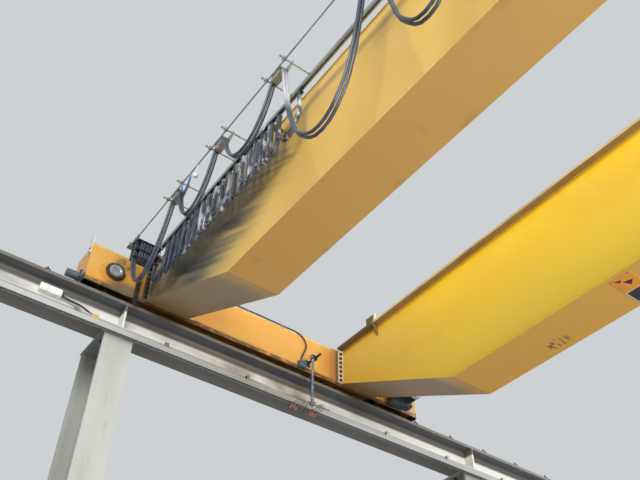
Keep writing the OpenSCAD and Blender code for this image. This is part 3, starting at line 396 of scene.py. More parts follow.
# Columns: rolled wide-flange steel with a matt pale grey shop coat, dusty and streaked by
# rain. Each stands on a base plate held by four anchor bolts, and its cap plate is bolted up
# into the runway beam.
ANCHOR_ACROSS = 0.046
CAP_BOLT_ACROSS = 0.030
COLUMN_X = 9.182
COLUMN_YS = (-7.5, -2.5, 2.5, 7.5)
BASE_TOP = 0.040
CAP_UNDER = 6.186
BASE_BOLTS = ((-0.355, -0.215), (0.355, -0.215), (-0.355, 0.215), (0.355, 0.215))
CAP_BOLTS = ((-0.235, -0.09), (-0.235, 0.09), (-0.07, -0.09), (-0.07, 0.09))

column_coat = coat("matt_shop_paint", "#A6A8A2", [
    film("#8F8D86", 0.5, (0.25, 0.25, 1.6)),
    film("#77736B", 0.45, (0.06, 0.06, 0.5), between=(0.6, 0.78)),
    # painted shade: faces that look down are darker
    film("#6A6F74", 0.75, side="under")], roughness=0.62)
dress(column_coat, "left_columns", "right_columns")
bolt_steel = coat("blackened_bolt_steel", "#4A4845", [
    film("#7A5638", 0.5, 0.02)], roughness=0.5, metallic=0.7)
plated_steel = coat("zinc_plated_steel", "#A9ACAA", [
    film("#6E6A62", 0.5, 0.03)], roughness=0.38, metallic=0.85)


def bolts(name, places, across, stud=0.0, material=bolt_steel, slot="dark_steel", body="bridge"):
    """Hexagon bolts at every place, fitted as one piece."""
    fit(set_out(hexagon_bolt(across, stud), places, name), material, slot, body=body)


for side, column_slot in ((-1, "left"), (1, "right")):
    bolts(column_slot + "_anchor_bolts", [
        at((side * COLUMN_X + dx, y + dy, BASE_TOP)) for y in COLUMN_YS for dx, dy in BASE_BOLTS],
        across=ANCHOR_ACROSS, stud=0.03, body="runway")
    bolts(column_slot + "_cap_bolts", [
        at((side * (COLUMN_X + dx), y + dy, CAP_UNDER), (0, 0, -1))
        for y in COLUMN_YS for dx, dy in CAP_BOLTS], across=CAP_BOLT_ACROSS, stud=0.012,
        body="runway")

# Runway beams: rolled sections in pale grey paint. The web has kept its colour. The underside of
# the top flange and the top of the web are painted dark as shade, and so is all that faces down;
# a grey band runs along the lower flange, and a brown wash runs down by the collector.
BEAM_X = 9.0
BEAM_TOP = 6.565
HALF_WEB = 0.0105
WEB_BOLT_ACROSS = 0.026
WEB_BOLT_Z = 6.33
WEB_BOLT_DY = 0.055

beam_coat = coat("grey_beam_paint", "#E6E7E2", [
    film("#C2BDB4", 0.45, (0.3, 1.4, 0.09)),
    film("#7E6758", 0.75, (0.5, 0.35, 0.6), between=(0.30, 0.60),
         patch=((-8.9, -0.55, 6.36), (0.4, 1.3, 0.24))),
    film("#84827E", 0.75, (0.5, 0.6, 0.3), between=(0.25, 0.60),
         patch=((-8.9, -3.6, 6.36), (0.4, 1.5, 0.26))),
    # painted shade under the top flange, over the top of the web
    film("#57504A", 0.92, patch=((0.0, 0.0, 6.575), (30.0, 60.0, 0.15)), core=0.8),
    # painted shade on every face that looks down
    film("#484C52", 0.85, side="under"),
    film("#6D6A66", 0.7, patch=((0.0, 0.0, 6.20), (30.0, 60.0, 0.055)), core=0.7),
], roughness=0.55)
dress(beam_coat, "left_runway_beam", "right_runway_beam")
bolts("web_bolts", [
    at((side * (BEAM_X - HALF_WEB), y + dy, WEB_BOLT_Z), (-side, 0, 0))
    for side in BOTH for y in COLUMN_YS for dy in (-WEB_BOLT_DY, WEB_BOLT_DY)],
    across=WEB_BOLT_ACROSS, stud=0.01, body="runway")

# Crane rails: rolled flat-bottom rail, worn bright where the wheels run and brown below. Forged
# clips sit on the foot from both sides, each held to the beam by one bolt.
CLIP_ROW = [(k - 11.5) * 0.614 for k in range(24)]
CLIP_SIZE = Vector((0.066, 0.060, 0.022))
CLIP_OUT = 0.112
CLIP_MIDDLE = CLIP_SIZE.z / 2
NOSE_STEP = (0.008, 0, 0.002)
FOOT_STEP = (0, 0, 0.0105)
CLIP_BOLT_ACROSS = 0.027
CLIP_BOLT_OUT = 0.008

rail_steel = coat("rolled_rail_steel", "#5C524A", [
    film("#7A6250", 0.6, (0.05, 0.5, 0.05)),
    film("#B9B9B6", 0.9, side="top", patch=((0.0, 0.0, 6.64), (30.0, 60.0, 0.02))),
], roughness=0.42, metallic=0.75)
dress(rail_steel, "left_crane_rail", "right_crane_rail")
clip = block((-CLIP_SIZE.x / 2, -CLIP_SIZE.y / 2, 0.0),
             (CLIP_SIZE.x / 2, CLIP_SIZE.y / 2, CLIP_SIZE.z), "clip_pattern", 0)
shift(clip, lambda co: co.x < 0 and co.z > CLIP_MIDDLE, NOSE_STEP)
shift(clip, lambda co: co.x < 0 and co.z < CLIP_MIDDLE, FOOT_STEP)
bevelled(clip, 0.002, 1)
clip_bolt = hexagon_bolt(CLIP_BOLT_ACROSS, stud=0.014)
clip_bolt.data.transform(Matrix.Translation((CLIP_BOLT_OUT, 0, CLIP_SIZE.z)))
clip = joined([clip, clip_bolt], "clip_pattern")
clip_places = [
    Matrix.Translation((side * BEAM_X + face * CLIP_OUT, y, BEAM_TOP))
    @ Matrix.Rotation(0 if face > 0 else pi, 4, "Z")
    for side in BOTH for y in CLIP_ROW for face in BOTH]
fit(set_out(clip, clip_places, "rail_clips"), bolt_steel, "dark_steel", body="runway")

# End stops: plate brackets welded up and painted yellow, bolted down behind the ends of the
# rails, where the trucks' buffers meet them.
STOP_Y = 7.37
STOP_BASE = 0.020
STOP_BOLT_ACROSS = 0.030
STOP_BOLT_DXS = (-0.095, 0.0, 0.095)
STOP_BOLT_DYS = (0.10, 0.27)

stop_coat = coat("stop_paint_yellow", "#D99E1E", [
    film("#A5772A", 0.5, 0.2),
    film("#5B4630", 0.5, 0.04, between=(0.62, 0.74))])
dress(stop_coat, "end_stops")
bolts("stop_bolts", [
    at((side * BEAM_X + dx, end * (STOP_Y + dy), BEAM_TOP + STOP_BASE))
    for side in BOTH for end in BOTH for dx in STOP_BOLT_DXS for dy in STOP_BOLT_DYS],
    across=STOP_BOLT_ACROSS, stud=0.012, body="runway")

# Conductor rail: a grey plastic housing with the copper strips inside it, open in a slot below.
# Strap hangers bent from galvanised strip hook it to the beam's lower flange.
HANGER_YS = [i - 7.0 for i in range(15)]
HANGER_SCREW_X, HANGER_SCREW_Z = -8.868, 6.255

housing_plastic = coat("extruded_grey_pvc", "#A9ACAA", [
    film("#7F7C78", 0.6, (0.4, 1.5, 0.4)),
    # painted shade: the housing's underside is darker
    film("#4F5256", 0.8, side="under")], roughness=0.5, grain=0.03, lumps=0.0002)
dress(housing_plastic, "conductor_rail")
galvanised = coat("hot_dip_galvanised_steel", "#8F9390", [
    film("#B8BBB8", 0.6, 0.02), film("#6B6760", 0.6, 0.3)], roughness=0.42, metallic=0.7)
dress(galvanised, "conductor_hangers")
bolts("hanger_screws", [at((HANGER_SCREW_X, y, HANGER_SCREW_Z)) for y in HANGER_YS], across=0.016,
      stud=0.008, material=plated_steel, slot="hanger_steel", body="runway")

# Feed box: a pale plastic junction box on the web of the left beam, with a lipped lid on four
# screws and a cable gland at its end. The two cores of its cable run over the flange's edge,
# where a tan tag holds them.
FEED_LOW = Vector((-8.9895, -3.382, 6.3774))
FEED_HIGH = Vector((-8.9275, -3.154, 6.4614))
FEED_LID = 0.016
LID_GAP = 0.002
FEED_SCREW_DYS = (0.016, 0.212)
FEED_SCREW_DZS = (0.014, 0.070)
FEED_CORE = 0.006
TAG_LOW, TAG_HIGH = (-8.8445, -2.836, 6.214), (-8.834, -2.764, 6.266)
CORE_DY, CORE_DZ = 0.004, -0.013
FEED_ROUTE = [(-8.9585, -3.154, 6.4194), (-8.955, -3.095, 6.404), (-8.945, -3.020, 6.388),
              (-8.925, -2.935, 6.362), (-8.895, -2.872, 6.314), (-8.864, -2.826, 6.270),
              (-8.841, -2.800, 6.2590)]


def lidded_case(low, high, lid, rounding, name):
    """A case and its lid, with a gap between them, facing +X."""
    seam = high.x - lid
    return [block(low, (seam - LID_GAP, high.y, high.z), name + "_tub", 0.004),
            block((seam, low.y, low.z), high, name + "_lid", rounding)]


box_plastic = coat("moulded_grey_white_abs", "#DFE0DA", [
    film("#A39C8E", 0.5, 0.08)], roughness=0.45, grain=0.004, lumps=0.0002)
feed_screw = turned([(0.0, 0.0), (0.006, 0.0), (0.006, 0.0015), (0.004, 0.002), (0.0, 0.002)],
                    "feed_screw", 12)
feed_screws = set_out(feed_screw, [
    at((FEED_HIGH.x - 0.002, FEED_LOW.y + dy, FEED_LOW.z + dz), (1, 0, 0))
    for dy in FEED_SCREW_DYS for dz in FEED_SCREW_DZS], "feed_screws")
feed_parts = lidded_case(FEED_LOW, FEED_HIGH, FEED_LID, 0.005, "feed") + [feed_screws]
fit(joined(feed_parts, "feed_case"), box_plastic, "box_plastic", "feed_box", body="runway")
rubber = coat("black_cable_sheath", "#1D1E21", [
    film("#4A4743", 0.5, 0.05)], roughness=0.42, grain=0.006, lumps=0.0002)
fit_turned([(0.0, 0.0), (0.014, 0.0), (0.014, 0.008), (0.011, 0.009), (0.011, 0.018),
            (0.008, 0.026), (0.0, 0.026)], at(FEED_ROUTE[0], (0, 1, 0)), "feed_gland", 12,
           rubber, "cable_rubber", body="runway")
second_core = [(x, y + CORE_DY, z + CORE_DZ) for x, y, z in FEED_ROUTE[1:5]]
feed_routes = [FEED_ROUTE, FEED_ROUTE[:1] + second_core + FEED_ROUTE[-1:]]
fit(cable(feed_routes, FEED_CORE, "feed_lead"), rubber, "cable_rubber", "feed_cable", body="runway")
tag_yellow = coat("yellow_nylon_tag", "#C4A263", [film("#8A5A22", 0.4, 0.02)], roughness=0.5)
fit(block(TAG_LOW, TAG_HIGH, "feed_tag"), tag_yellow, "stop_paint", body="runway")

# Girders: welded boxes of thin plate in machinery yellow enamel. The inner webs are bright, with
# painted light on the back girder's lower inner web. The undersides are ochre, partly from dust
# and oil mist and partly painted shade, and darker towards the left truck, and the festoon's
# cables have rubbed black grease over the front girder's outer web. A painted shadow of the cable
# curtain lies on the front girder's end plate. Fillet welds run along every lower edge, their
# beads pale cream as a painted highlight.
BRIDGE_Y = -0.774
GIRDER_AXIS = 1.307
WEB_OUT = 0.245
LIP_OUT = 0.034
GIRDER_END = 8.774
KNUCKLE = 6.995
GIRDER_LOW = 5.8005
END_LOW = 6.6305
SEAM = 0.005
BEAD = 0.004
TOP_SEAM_Z = 7.1065
END_SEAM_ZS = (6.655, 7.07)
END_BOLT_ACROSS = 0.024
END_BOLT_ZS = [6.668 + i * 0.0625 for i in range(7)]

front_coat = coat("dusty_yellow_enamel", "#DDB457", [
    film("#CDA64C", 0.55, (1.1, 1.0, 0.7)),
    film("#E2C070", 0.55, (0.5, 0.5, 0.9), turn=24, between=(0.5, 0.7)),
    film("#84754F", 0.92, (2.0, 0.5, 0.5), turn=20, between=(0.15, 0.42),
         patch=((-7.95, -2.33, 6.62), (2.0, 0.3, 1.0)), core=0.5),
    film("#55524A", 0.92, (1.4, 0.3, 0.28), turn=26, between=(0.28, 0.50),
         patch=((-8.0, -2.33, 6.46), (1.25, 0.3, 0.60)), core=0.4),
    film("#6B6048", 0.85, (0.9, 0.3, 0.05), turn=27, between=(0.46, 0.60),
         patch=((-7.4, -2.33, 6.50), (1.7, 0.3, 0.62)), core=0.35),
    film("#383835", 0.95, (1.2, 0.2, 0.07), turn=28, between=(0.42, 0.58),
         patch=((-7.60, -2.33, 6.38), (1.35, 0.3, 0.40)), core=0.3),
    # painted shadow of the cable curtain on the end plate
    film("#4B4438", 0.85, patch=((-8.774, -2.36, 6.92), (0.06, 0.07, 0.6)), core=0.6),
    # ochre undersides, partly dust and partly painted shade; the next film darkens them by the
    # truck
    film("#BE924E", 0.9, side="under"),
    film("#8A7152", 0.85, side="under", patch=((-8.2, -2.08, 6.3), (1.5, 0.8, 0.75)), core=0.8),
    film("#6F5B3C", 0.4, 0.35, between=(0.6, 0.72), side="under"),
    film("#6E5840", 0.8, side="top"),
], roughness=0.40, grain=0.02, lumps=0.0004)
back_coat = coat("bright_yellow_enamel", "#F2C826", [
    film("#E2BA38", 0.6, (1.2, 1.0, 0.8)),
    # painted light on the lower inner web
    film("#FADB48", 0.7, patch=((-5.2, 0.29, 5.85), (4.2, 0.3, 0.85)), core=0.3),
    film("#F2D048", 0.55, (0.22, 0.3, 0.5), turn=-24, between=(0.56, 0.7)),
    film("#C7A04A", 0.75, patch=((-8.9, 0.29, 6.75), (2.1, 0.8, 1.4)), core=0.05),
    film("#C0B59C", 0.85, patch=((-8.774, 0.252, 6.87), (0.06, 0.036, 0.6)), core=0.8),
    # ochre undersides, partly dust and partly painted shade; the next film darkens them by the
    # truck
    film("#CB9943", 0.95, side="under"),
    film("#85684A", 0.85, side="under", patch=((-8.3, 0.53, 6.3), (1.6, 0.8, 0.75)), core=0.75),
    film("#5A4329", 0.9, (0.028, 0.10, 0.05), between=(0.50, 0.60), side="under",
         patch=((-6.00, 0.65, 5.80), (0.19, 0.10, 0.1))),
    film("#6E5840", 0.8, side="top"),
], roughness=0.36, grain=0.02, lumps=0.0004)
dress(front_coat, "front_girder")
dress(back_coat, "back_girder")
half_outline = [(GIRDER_END, END_LOW + 0.020), (KNUCKLE + 0.02, GIRDER_LOW + 0.022),
                (KNUCKLE - 0.02, GIRDER_LOW + 0.016)]
seam_outline = [(-x, z) for x, z in half_outline] + half_outline[::-1]
# the beads' pale cream is a painted highlight along the edges, with grime over it
seam_grime = [film("#8E6E3C", 0.6, (0.15, 0.05, 0.05))]
seam_highlight_coats = {-1: coat("seam_highlight_front", "#F2DFB2", seam_grime),
              1: coat("seam_highlight_back", "#F0D27A", seam_grime)}
for side, girder in ((-1, "front"), (1, "back")):
    web_ys = [BRIDGE_Y + side * GIRDER_AXIS + out for out in (-WEB_OUT, WEB_OUT)]
    seams = [[(x, y, z) for x, z in seam_outline] for y in web_ys]
    seams += [[(end * GIRDER_END, y, TOP_SEAM_Z) for end in BOTH] for y in web_ys]
    seams += [[(end * GIRDER_END, y, z) for z in END_SEAM_ZS] for y in web_ys for end in BOTH]
    fit(straight(seams, SEAM, girder + "_girder_welds"), seam_highlight_coats[side], girder + "_girder_paint")
bolts("girder_end_bolts", [
    at((end * GIRDER_END, BRIDGE_Y + side * GIRDER_AXIS + lip * (WEB_OUT + LIP_OUT), z),
       (-end, 0, 0)) for side in BOTH for end in BOTH for lip in BOTH for z in END_BOLT_ZS],
    across=END_BOLT_ACROSS, stud=0.008)

# Crab stops: a channel that lies open to the crab on a base over ledge and girder, with a
# gusset below it. The edges at the open end carry a painted highlight, the inside is painted
# dark as shadow, and the gusset below the deck is dark brown.
INNER_WEB = 1.062
DECK_Z = 7.1225
STOP_OPEN_END, STOP_BACK_END = 8.040, 8.204
STOP_EDGE, STOP_INSIDE = 0.976, 1.152
STOP_HEIGHT = 0.088
STOP_PLATE = 0.014
GUSSET_X, GUSSET_TOP, GUSSET_DROP = 8.090, 7.0925, 0.14
GUSSET_TOE = 0.010
PAD_THICK = 0.016
PAD_EDGES = (1.047, 1.103)
PAD_ZS = (7.150, 7.196)

crab_stop_coat = coat("crab_stop_yellow", "#D6B868", [
    film("#8C6B3C", 0.7, 0.06),
    film("#5A4029", 0.85, patch=((0.0, BRIDGE_Y, 7.02), (20.0, 4.0, 0.11)), core=0.8),
    # painted shadow inside the channel
    film("#3A2E26", 0.9, patch=((-8.15, BRIDGE_Y, 7.17), (0.09, 4.0, 0.10)), core=0.8),
    # painted highlight on the edges at the open end
    film("#F4E9CC", 0.9, patch=((-8.040, BRIDGE_Y, 7.17), (0.02, 4.0, 0.10)), core=0.8)])


def stop_slab(side_x, side_y, near, far, rounding=0.002):
    """A block at one of the four crab stops, its corners written for the back right one."""
    ys = sorted(BRIDGE_Y + side_y * corner[1] for corner in (near, far))
    return sided_block(side_x, (near[0], ys[0], near[2]), (far[0], ys[1], far[2]),
                       "crab_stop_slab", rounding)


def crab_stop(side_x, side_y):
    base, top = DECK_Z + STOP_PLATE, DECK_Z + STOP_HEIGHT
    wall = STOP_BACK_END - STOP_PLATE
    slabs = [stop_slab(side_x, side_y, near, far) for near, far in (
        ((STOP_OPEN_END, STOP_EDGE, DECK_Z), (STOP_BACK_END, STOP_INSIDE, base)),
        ((wall, STOP_EDGE, base), (STOP_BACK_END, STOP_INSIDE, top)),
        ((STOP_OPEN_END, STOP_EDGE, base), (wall, STOP_EDGE + STOP_PLATE, top)),
        ((STOP_OPEN_END, STOP_INSIDE - STOP_PLATE, base), (wall, STOP_INSIDE, top)))]
    gusset = stop_slab(side_x, side_y, (GUSSET_X, STOP_EDGE, GUSSET_TOP - GUSSET_DROP),
                       (GUSSET_X + STOP_PLATE, INNER_WEB, GUSSET_TOP), 0.0)
    middle = (STOP_EDGE + INNER_WEB) / 2
    shift(gusset, lambda co: co.z < GUSSET_TOP - GUSSET_DROP / 2
          and side_y * (co.y - BRIDGE_Y) < middle,
          (0, side_y * (INNER_WEB - STOP_EDGE - GUSSET_TOE), 0))
    return slabs + [gusset]


corners = [(side_x, side_y) for side_x in BOTH for side_y in BOTH]
fit(joined([slab for corner in corners for slab in crab_stop(*corner)], "crab_stop_channels"),
    crab_stop_coat, "crab_stop_paint", "crab_stops")

# Crab rails: flat bars on the girders' inner edges, held by short welds, with a ledge of plate
# beside them. The ledges are painted dark brown by the trucks and on their undersides as
# painted shade. A rubber pad meets the crab at each stop.
RAIL_WIDTH = 0.050
STITCH = 0.12
STITCH_PITCH = 0.4
STITCH_START = -7.9

ledge_coat = coat("ledge_paint_tan", "#D6BA7E", [
    film("#8A7250", 0.55, (0.5, 0.5, 0.03), between=(0.38, 0.62)),
    # painted shade on the ledges by the trucks
    film("#42322A", 0.92, patch=((-8.95, BRIDGE_Y, 7.1), (0.95, 4.0, 0.6)), core=0.9),
    # painted shade on the ledges' undersides
    film("#6B5138", 0.75, side="under")], roughness=0.55)
dress(ledge_coat, "crab_rail_ledges")
dress(rail_steel, "crab_rails")
stitches = [[(x, y, DECK_Z), (x + STITCH, y, DECK_Z)]
            for y in [BRIDGE_Y + side * (INNER_WEB + out) for side in BOTH
                      for out in (0.0, RAIL_WIDTH)]
            for x in [STITCH_START + STITCH_PITCH * i for i in range(40)]]
# the stitch beads take the pale seam colour, a painted highlight
fit(straight(stitches, BEAD, "crab_rail_welds"), seam_highlight_coats[1], "ledge_paint")
stop_pads = [stop_slab(*corner, (STOP_OPEN_END - PAD_THICK, PAD_EDGES[0], PAD_ZS[0]),
                       (STOP_OPEN_END, PAD_EDGES[1], PAD_ZS[1]), 0.005) for corner in corners]
fit(joined(stop_pads, "crab_stop_pads"), rubber, "buffer_rubber")

# End trucks: box frames of plate around the travel wheels, in orange-yellow enamel. Oil creeping
# out of the bearings has stained the faces brown below and behind each cap, and the faces are
# dark along their lower edge. Narrow dark bands beside the back girder's end are painted
# shadow, and the undersides are painted darker as shade.
TRUCK_FACE = 8.804
AXLE = 1.952
WHEEL_Z = 6.8405
TRUCK_LOW = 6.6115
TRUCK_SEAM_Z = 7.0785
TRUCK_SEAM_HALF = 2.25


def by_hub(dy, dz, *reach):
    """A patch of dirt round the front hub of the left truck."""
    return (-TRUCK_FACE, BRIDGE_Y - AXLE + dy, WHEEL_Z + dz), reach


def by_gearbox(dy, z, *reach):
    return (-TRUCK_FACE, BRIDGE_Y + dy, z), reach


truck_coat = coat("orange_yellow_enamel", "#CC9645", [
    film("#D6A850", 0.6, (0.5, 0.7, 0.4)),
    film("#D68F3F", 0.6, (0.2, 0.9, 0.3), between=(0.5, 0.7)),
    film("#C48A2C", 0.75, patch=by_hub(0.21, -0.10, 0.3, 0.34, 0.36), core=0.8),
    film("#C98626", 0.9, 0.05, between=(0.3, 0.5),
         patch=by_hub(-0.02, -0.03, 0.2, 0.18, 0.16), core=0.7),
    film("#5C4A38", 0.85, (0.05, 0.06, 0.05), between=(0.38, 0.56),
         patch=by_hub(0.10, 0.15, 0.2, 0.16, 0.09)),
    film("#B27B3A", 0.8, patch=by_gearbox(0.95, 6.85, 0.3, 0.30, 0.6), core=0.2),
    # darker along the lower edge of the faces
    film("#4A392B", 0.95, (0.05, 0.12, 0.05), between=(0.25, 0.5),
         patch=((0.0, 0.0, TRUCK_LOW - 0.02), (30.0, 30.0, 0.085)), core=0.65),
    # painted shade on the undersides
    film("#6A543C", 0.85, side="under"),
    # painted shadow: narrow dark bands beside the back girder's end
    film("#8A6238", 0.8, patch=by_gearbox(0.98, 6.80, 0.3, 0.13, 0.60), core=0.2),
    film("#4A3727", 0.85, patch=by_gearbox(0.985, 6.82, 0.3, 0.035, 0.60), core=0.3),
    film("#695F4C", 0.9, 0.3, between=(0.25, 0.50),
         patch=by_hub(0.14, -0.17, 0.3, 0.30, 0.13), core=0.3),
], roughness=0.42, grain=0.02, lumps=0.0004)
dress(truck_coat, "left_end_truck", "right_end_truck")
truck_seams = [[(end * TRUCK_FACE, BRIDGE_Y + way * TRUCK_SEAM_HALF, TRUCK_SEAM_Z) for way in BOTH]
               for end in BOTH]
# the truck seams take the pale seam colour, a painted highlight
fit(straight(truck_seams, BEAD, "truck_welds"), seam_highlight_coats[1], "truck_paint")

# Bearing housings: turned cast-iron flanges around the axle ends, each closed by a dished steel
# cap. Six screws hold the flange; the caps are the only bare metal on the truck.
HUB_OUT = 0.196
SCREW_CIRCLE = 0.1025
SCREW_SEAT = 0.0145

housing_iron = coat("greasy_cast_iron", "#34302C", [
    film("#6B4A2A", 0.6, 0.03)], roughness=0.5, metallic=0.3)
cap_steel = coat("brushed_cap_steel", "#B4B8BC", [
    film("#7F7B76", 0.6, 0.05)], roughness=0.32, metallic=0.7)
housing = turned([(0.050, 0.0), (0.109, 0.0), (0.109, 0.011), (0.106, 0.014), (0.098, 0.015),
                  (0.096, 0.032), (0.094, 0.034), (0.079, 0.034), (0.077, 0.032), (0.077, 0.020),
                  (0.050, 0.020), (0.050, 0.0)], "housing", 40)
screws = set_out(hexagon_bolt(0.011), [
    at((SCREW_CIRCLE * cos(k * pi / 3), SCREW_CIRCLE * sin(k * pi / 3), SCREW_SEAT))
    for k in range(6)], "housing_screws")
housing = joined([housing, screws], "housing")
cap = turned([(0.0, 0.0275), (0.046, 0.0275), (0.052, 0.029), (0.056, 0.0335), (0.068, 0.034),
              (0.073, 0.0325), (0.0757, 0.029), (0.0757, 0.022), (0.0, 0.022)], "cap", 40)
hubs = [at((truck * BEAM_X + face * HUB_OUT, BRIDGE_Y + y, WHEEL_Z), (face, 0, 0))
        for truck in BOTH for face in BOTH for y in (-AXLE, AXLE)]
fit(set_out(housing, hubs, "bearing_flanges"), housing_iron, "housing_iron", "bearing_housings")
fit(set_out(cap, hubs, "bearing_caps"), cap_steel, "cover_steel", "axle_covers")

# Buffers, guards and sweepers: moulded cellular buffers on bolted plates at the trucks' ends,
# a flat guard bar over the rail by each front wheel and sweeper plates in front of the wheels.
BUFFER_FACE = 2.265
BUFFER_Z = 6.752
GUARD_X = 8.788
GUARD_DY = -1.683
GUARD_BOLT_ZS = (6.64, 6.75, 6.86)

buffer_foam = coat("cellular_buffer_rubber", "#535D6A", [
    film("#343A42", 0.6, 0.05)], roughness=0.7, grain=0.004)
guard_coat = coat("black_plate_paint", "#23242A", [film("#4A3A2C", 0.6, 0.06)], roughness=0.45)
dress(buffer_foam, "truck_buffers")
dress(guard_coat, "rail_guards", "rail_sweepers")
bolts("buffer_screws", [
    at((truck * BEAM_X + dx, BRIDGE_Y + end * BUFFER_FACE, BUFFER_Z + dz), (0, end, 0))
    for truck in BOTH for end in BOTH for dx in (-0.056, 0.056) for dz in (-0.040, 0.040)],
    across=0.016)
bolts("guard_bolts", [
    at((truck * GUARD_X, BRIDGE_Y + GUARD_DY, z), (-truck, 0, 0))
    for truck in BOTH for z in GUARD_BOLT_ZS], across=0.019)

# Travel drives: a cast gearbox on each truck's inner face at the back wheel, with a finned
# electric motor and its pale fan cowl reaching inwards, and a terminal box on the motor.
DRIVE_X = 8.769
DRIVE_IN = 8.654
GEARBOX_YS = (0.968, 1.298)
GEARBOX_ZS = (6.6045, 6.9745)
GEAR_SCREW_YS, GEAR_SCREW_ZS = (0.992, 1.274), (6.63, 6.95)
FLANGE_XS = (8.709, 8.721)
ARM_LOW = 6.9535
MOTOR_Y = 1.178
MOTOR_Z = 6.7225
TERMINAL_XS = (8.519, 8.609)

cast_grey = coat("dark_blue_grey_casting_paint", "#2C3440", [
    film("#1E2228", 0.6, 0.1),
    film("#5B4A3A", 0.5, 0.03, between=(0.6, 0.75))], roughness=0.5, grain=0.006)
cowl_paint = coat("pale_grey_cowl_paint", "#A9B4C0", [film("#6B7078", 0.5, 0.06)], roughness=0.4)


def motor_and_cowl(radius, length, fins, place, name):
    """A motor from a place along its axis, with cooling fins and end shields, and the sheet
    cowl over its fan, with rings pressed round the grille."""
    start = length * 0.74
    shell = turned([(0.0, 0.0), (radius * 0.92, 0.0), (radius * 0.95, length * 0.04),
                    (radius * 0.80, length * 0.08), (radius * 0.80, length * 0.70),
                    (radius * 0.95, start), (0.0, start)], name + "_frame")
    fin = block((radius * 0.76, -0.0022, length * 0.08), (radius * 0.97, 0.0022, length * 0.71),
                name + "_fin", 0.001, 1)
    ribs = set_out(fin, [Matrix.Rotation(2 * pi * k / fins, 4, "Z") for k in range(fins)],
                   name + "_fins")
    motor = joined([shell, ribs], name + "_motor")
    rings = [(radius * share, length - drop) for share, drop in (
        (0.84, 0.0), (0.78, 0.005), (0.72, 0.0), (0.66, 0.005), (0.60, 0.0), (0.54, 0.005),
        (0.48, 0.0), (0.42, 0.005), (0.2, 0.005), (0.14, 0.001))]
    cowl = turned([(0.0, start), (radius * 0.99, start), (radius, start + 0.004),
                   (radius * 0.99, length - 0.014), (radius * 0.93, length - 0.002),
                   *rings, (0.0, length)], name + "_cowl")
    for part in (motor, cowl):
        part.data.transform(place)
    return motor, cowl


drives = []
cowls = []
for side in BOTH:
    drives += [
        sided_block(side, (DRIVE_IN, GEARBOX_YS[0], GEARBOX_ZS[0]),
                    (DRIVE_X, GEARBOX_YS[1], GEARBOX_ZS[1]), "gearbox", 0.026, 4),
        sided_block(side, (FLANGE_XS[0], GEARBOX_YS[0], GEARBOX_ZS[0]),
                    (FLANGE_XS[1], GEARBOX_YS[1], GEARBOX_ZS[1]), "gearbox_flange", 0.003, 1),
        sided_block(side, (DRIVE_X, GEARBOX_YS[0], ARM_LOW),
                    (TRUCK_FACE, GEARBOX_YS[1], GEARBOX_ZS[1]), "torque_arm", 0.004, 1)]
    motor, cowl = motor_and_cowl(radius=0.104, length=0.216, fins=30, place=at(
        (side * DRIVE_IN, MOTOR_Y, MOTOR_Z), (-side, 0, 0)), name="travel")
    terminal = sided_block(side, (TERMINAL_XS[0], MOTOR_Y - 0.05, MOTOR_Z + 0.086),
                           (TERMINAL_XS[1], MOTOR_Y + 0.05, MOTOR_Z + 0.125),
                           "terminal_box", 0.005)
    drives += [motor, terminal]
    cowls.append(cowl)
drives.append(set_out(hexagon_bolt(0.017), [
    at((side * DRIVE_IN, y, z), (-side, 0, 0))
    for side in BOTH for y in GEAR_SCREW_YS for z in GEAR_SCREW_ZS], "gear_screws"))
fit(joined(drives, "travel_gear_motors"), cast_grey, "drive_paint", "travel_drives")
fit(joined(cowls, "fan_cowls"), cowl_paint, "white_plate")

# Limit plate: a thin white sheet that stands up from the front end of the left truck, where it
# trips the runway's end switch, held by two screws.
PLATE_X, PLATE_FACE = -8.869, -3.033
PLATE_SCREW_ZS = (7.00, 7.06)

plate_paint = coat("white_sheet_paint", "#D5D8DA", [film("#8B8E92", 0.5, 0.05)], roughness=0.4)
dress(plate_paint, "limit_plate")
bolts("plate_screws", [at((PLATE_X, PLATE_FACE, z), (0, -1, 0)) for z in PLATE_SCREW_ZS],
      across=0.014, material=plated_steel)

# Festoon line: a taut galvanised wire for the trolleys and a slotted steel track beside the web,
# on arms welded to the front girder. Both are bright where the rollers run.
WIRE_STOP = 8.504
WIRE_Y = -2.722
WIRE_Z = 7.0185
GRIP_START = 0.06
GRIP_PITCH = 0.05

dress(galvanised, "festoon_brackets", "tow_arm")
bright_wire = coat("bright_wire_rope", "#A4ADB0", [
    film("#6A7072", 0.5, (0.25, 0.05, 0.05))], roughness=0.35, metallic=0.8)
dress(bright_wire, "festoon_track")
wire_ends = []
for side in BOTH:
    for k in range(3):
        x = side * (WIRE_STOP - GRIP_START - GRIP_PITCH * k)
        wire_ends.append(block((x - 0.009, WIRE_Y - 0.014, WIRE_Z - 0.012),
                               (x + 0.009, WIRE_Y + 0.014, WIRE_Z + 0.020), "grip", 0.004))
    eye = hexagon_bolt(0.024, 0.03)
    eye.data.transform(at((side * WIRE_STOP, WIRE_Y, WIRE_Z), (side, 0, 0)))
    wire_ends.append(eye)
fit(joined(wire_ends, "wire_grips"), plated_steel, "track_steel")

# Cable trolleys: each hangs from the wire and the track on two axles with grooved rollers, and
# carries the round cables over a saddle plate. The saddle's olive paint is worn at its edges.
TROLLEY_XS = [-7.577, -6.760, -5.828] + [-4.610 + 0.9 * i for i in range(6)]
AXLE_XS = [x + dx for x in TROLLEY_XS for dx in (-0.137, 0.137)]
AXLE_Z = 7.0438
AXLE_FACE = -2.7595
COLLAR_YS = (-2.70, -2.632, -2.564, -2.496, -2.428)
SADDLE_Z = 6.9638
SADDLE_RADIUS = 0.080
LANE_Y = -2.684


def ring(inner, outer, half, name, steps):
    return turned([(inner, -half), (outer, -half), (outer, half), (inner, half), (inner, -half)],
                  name, steps)


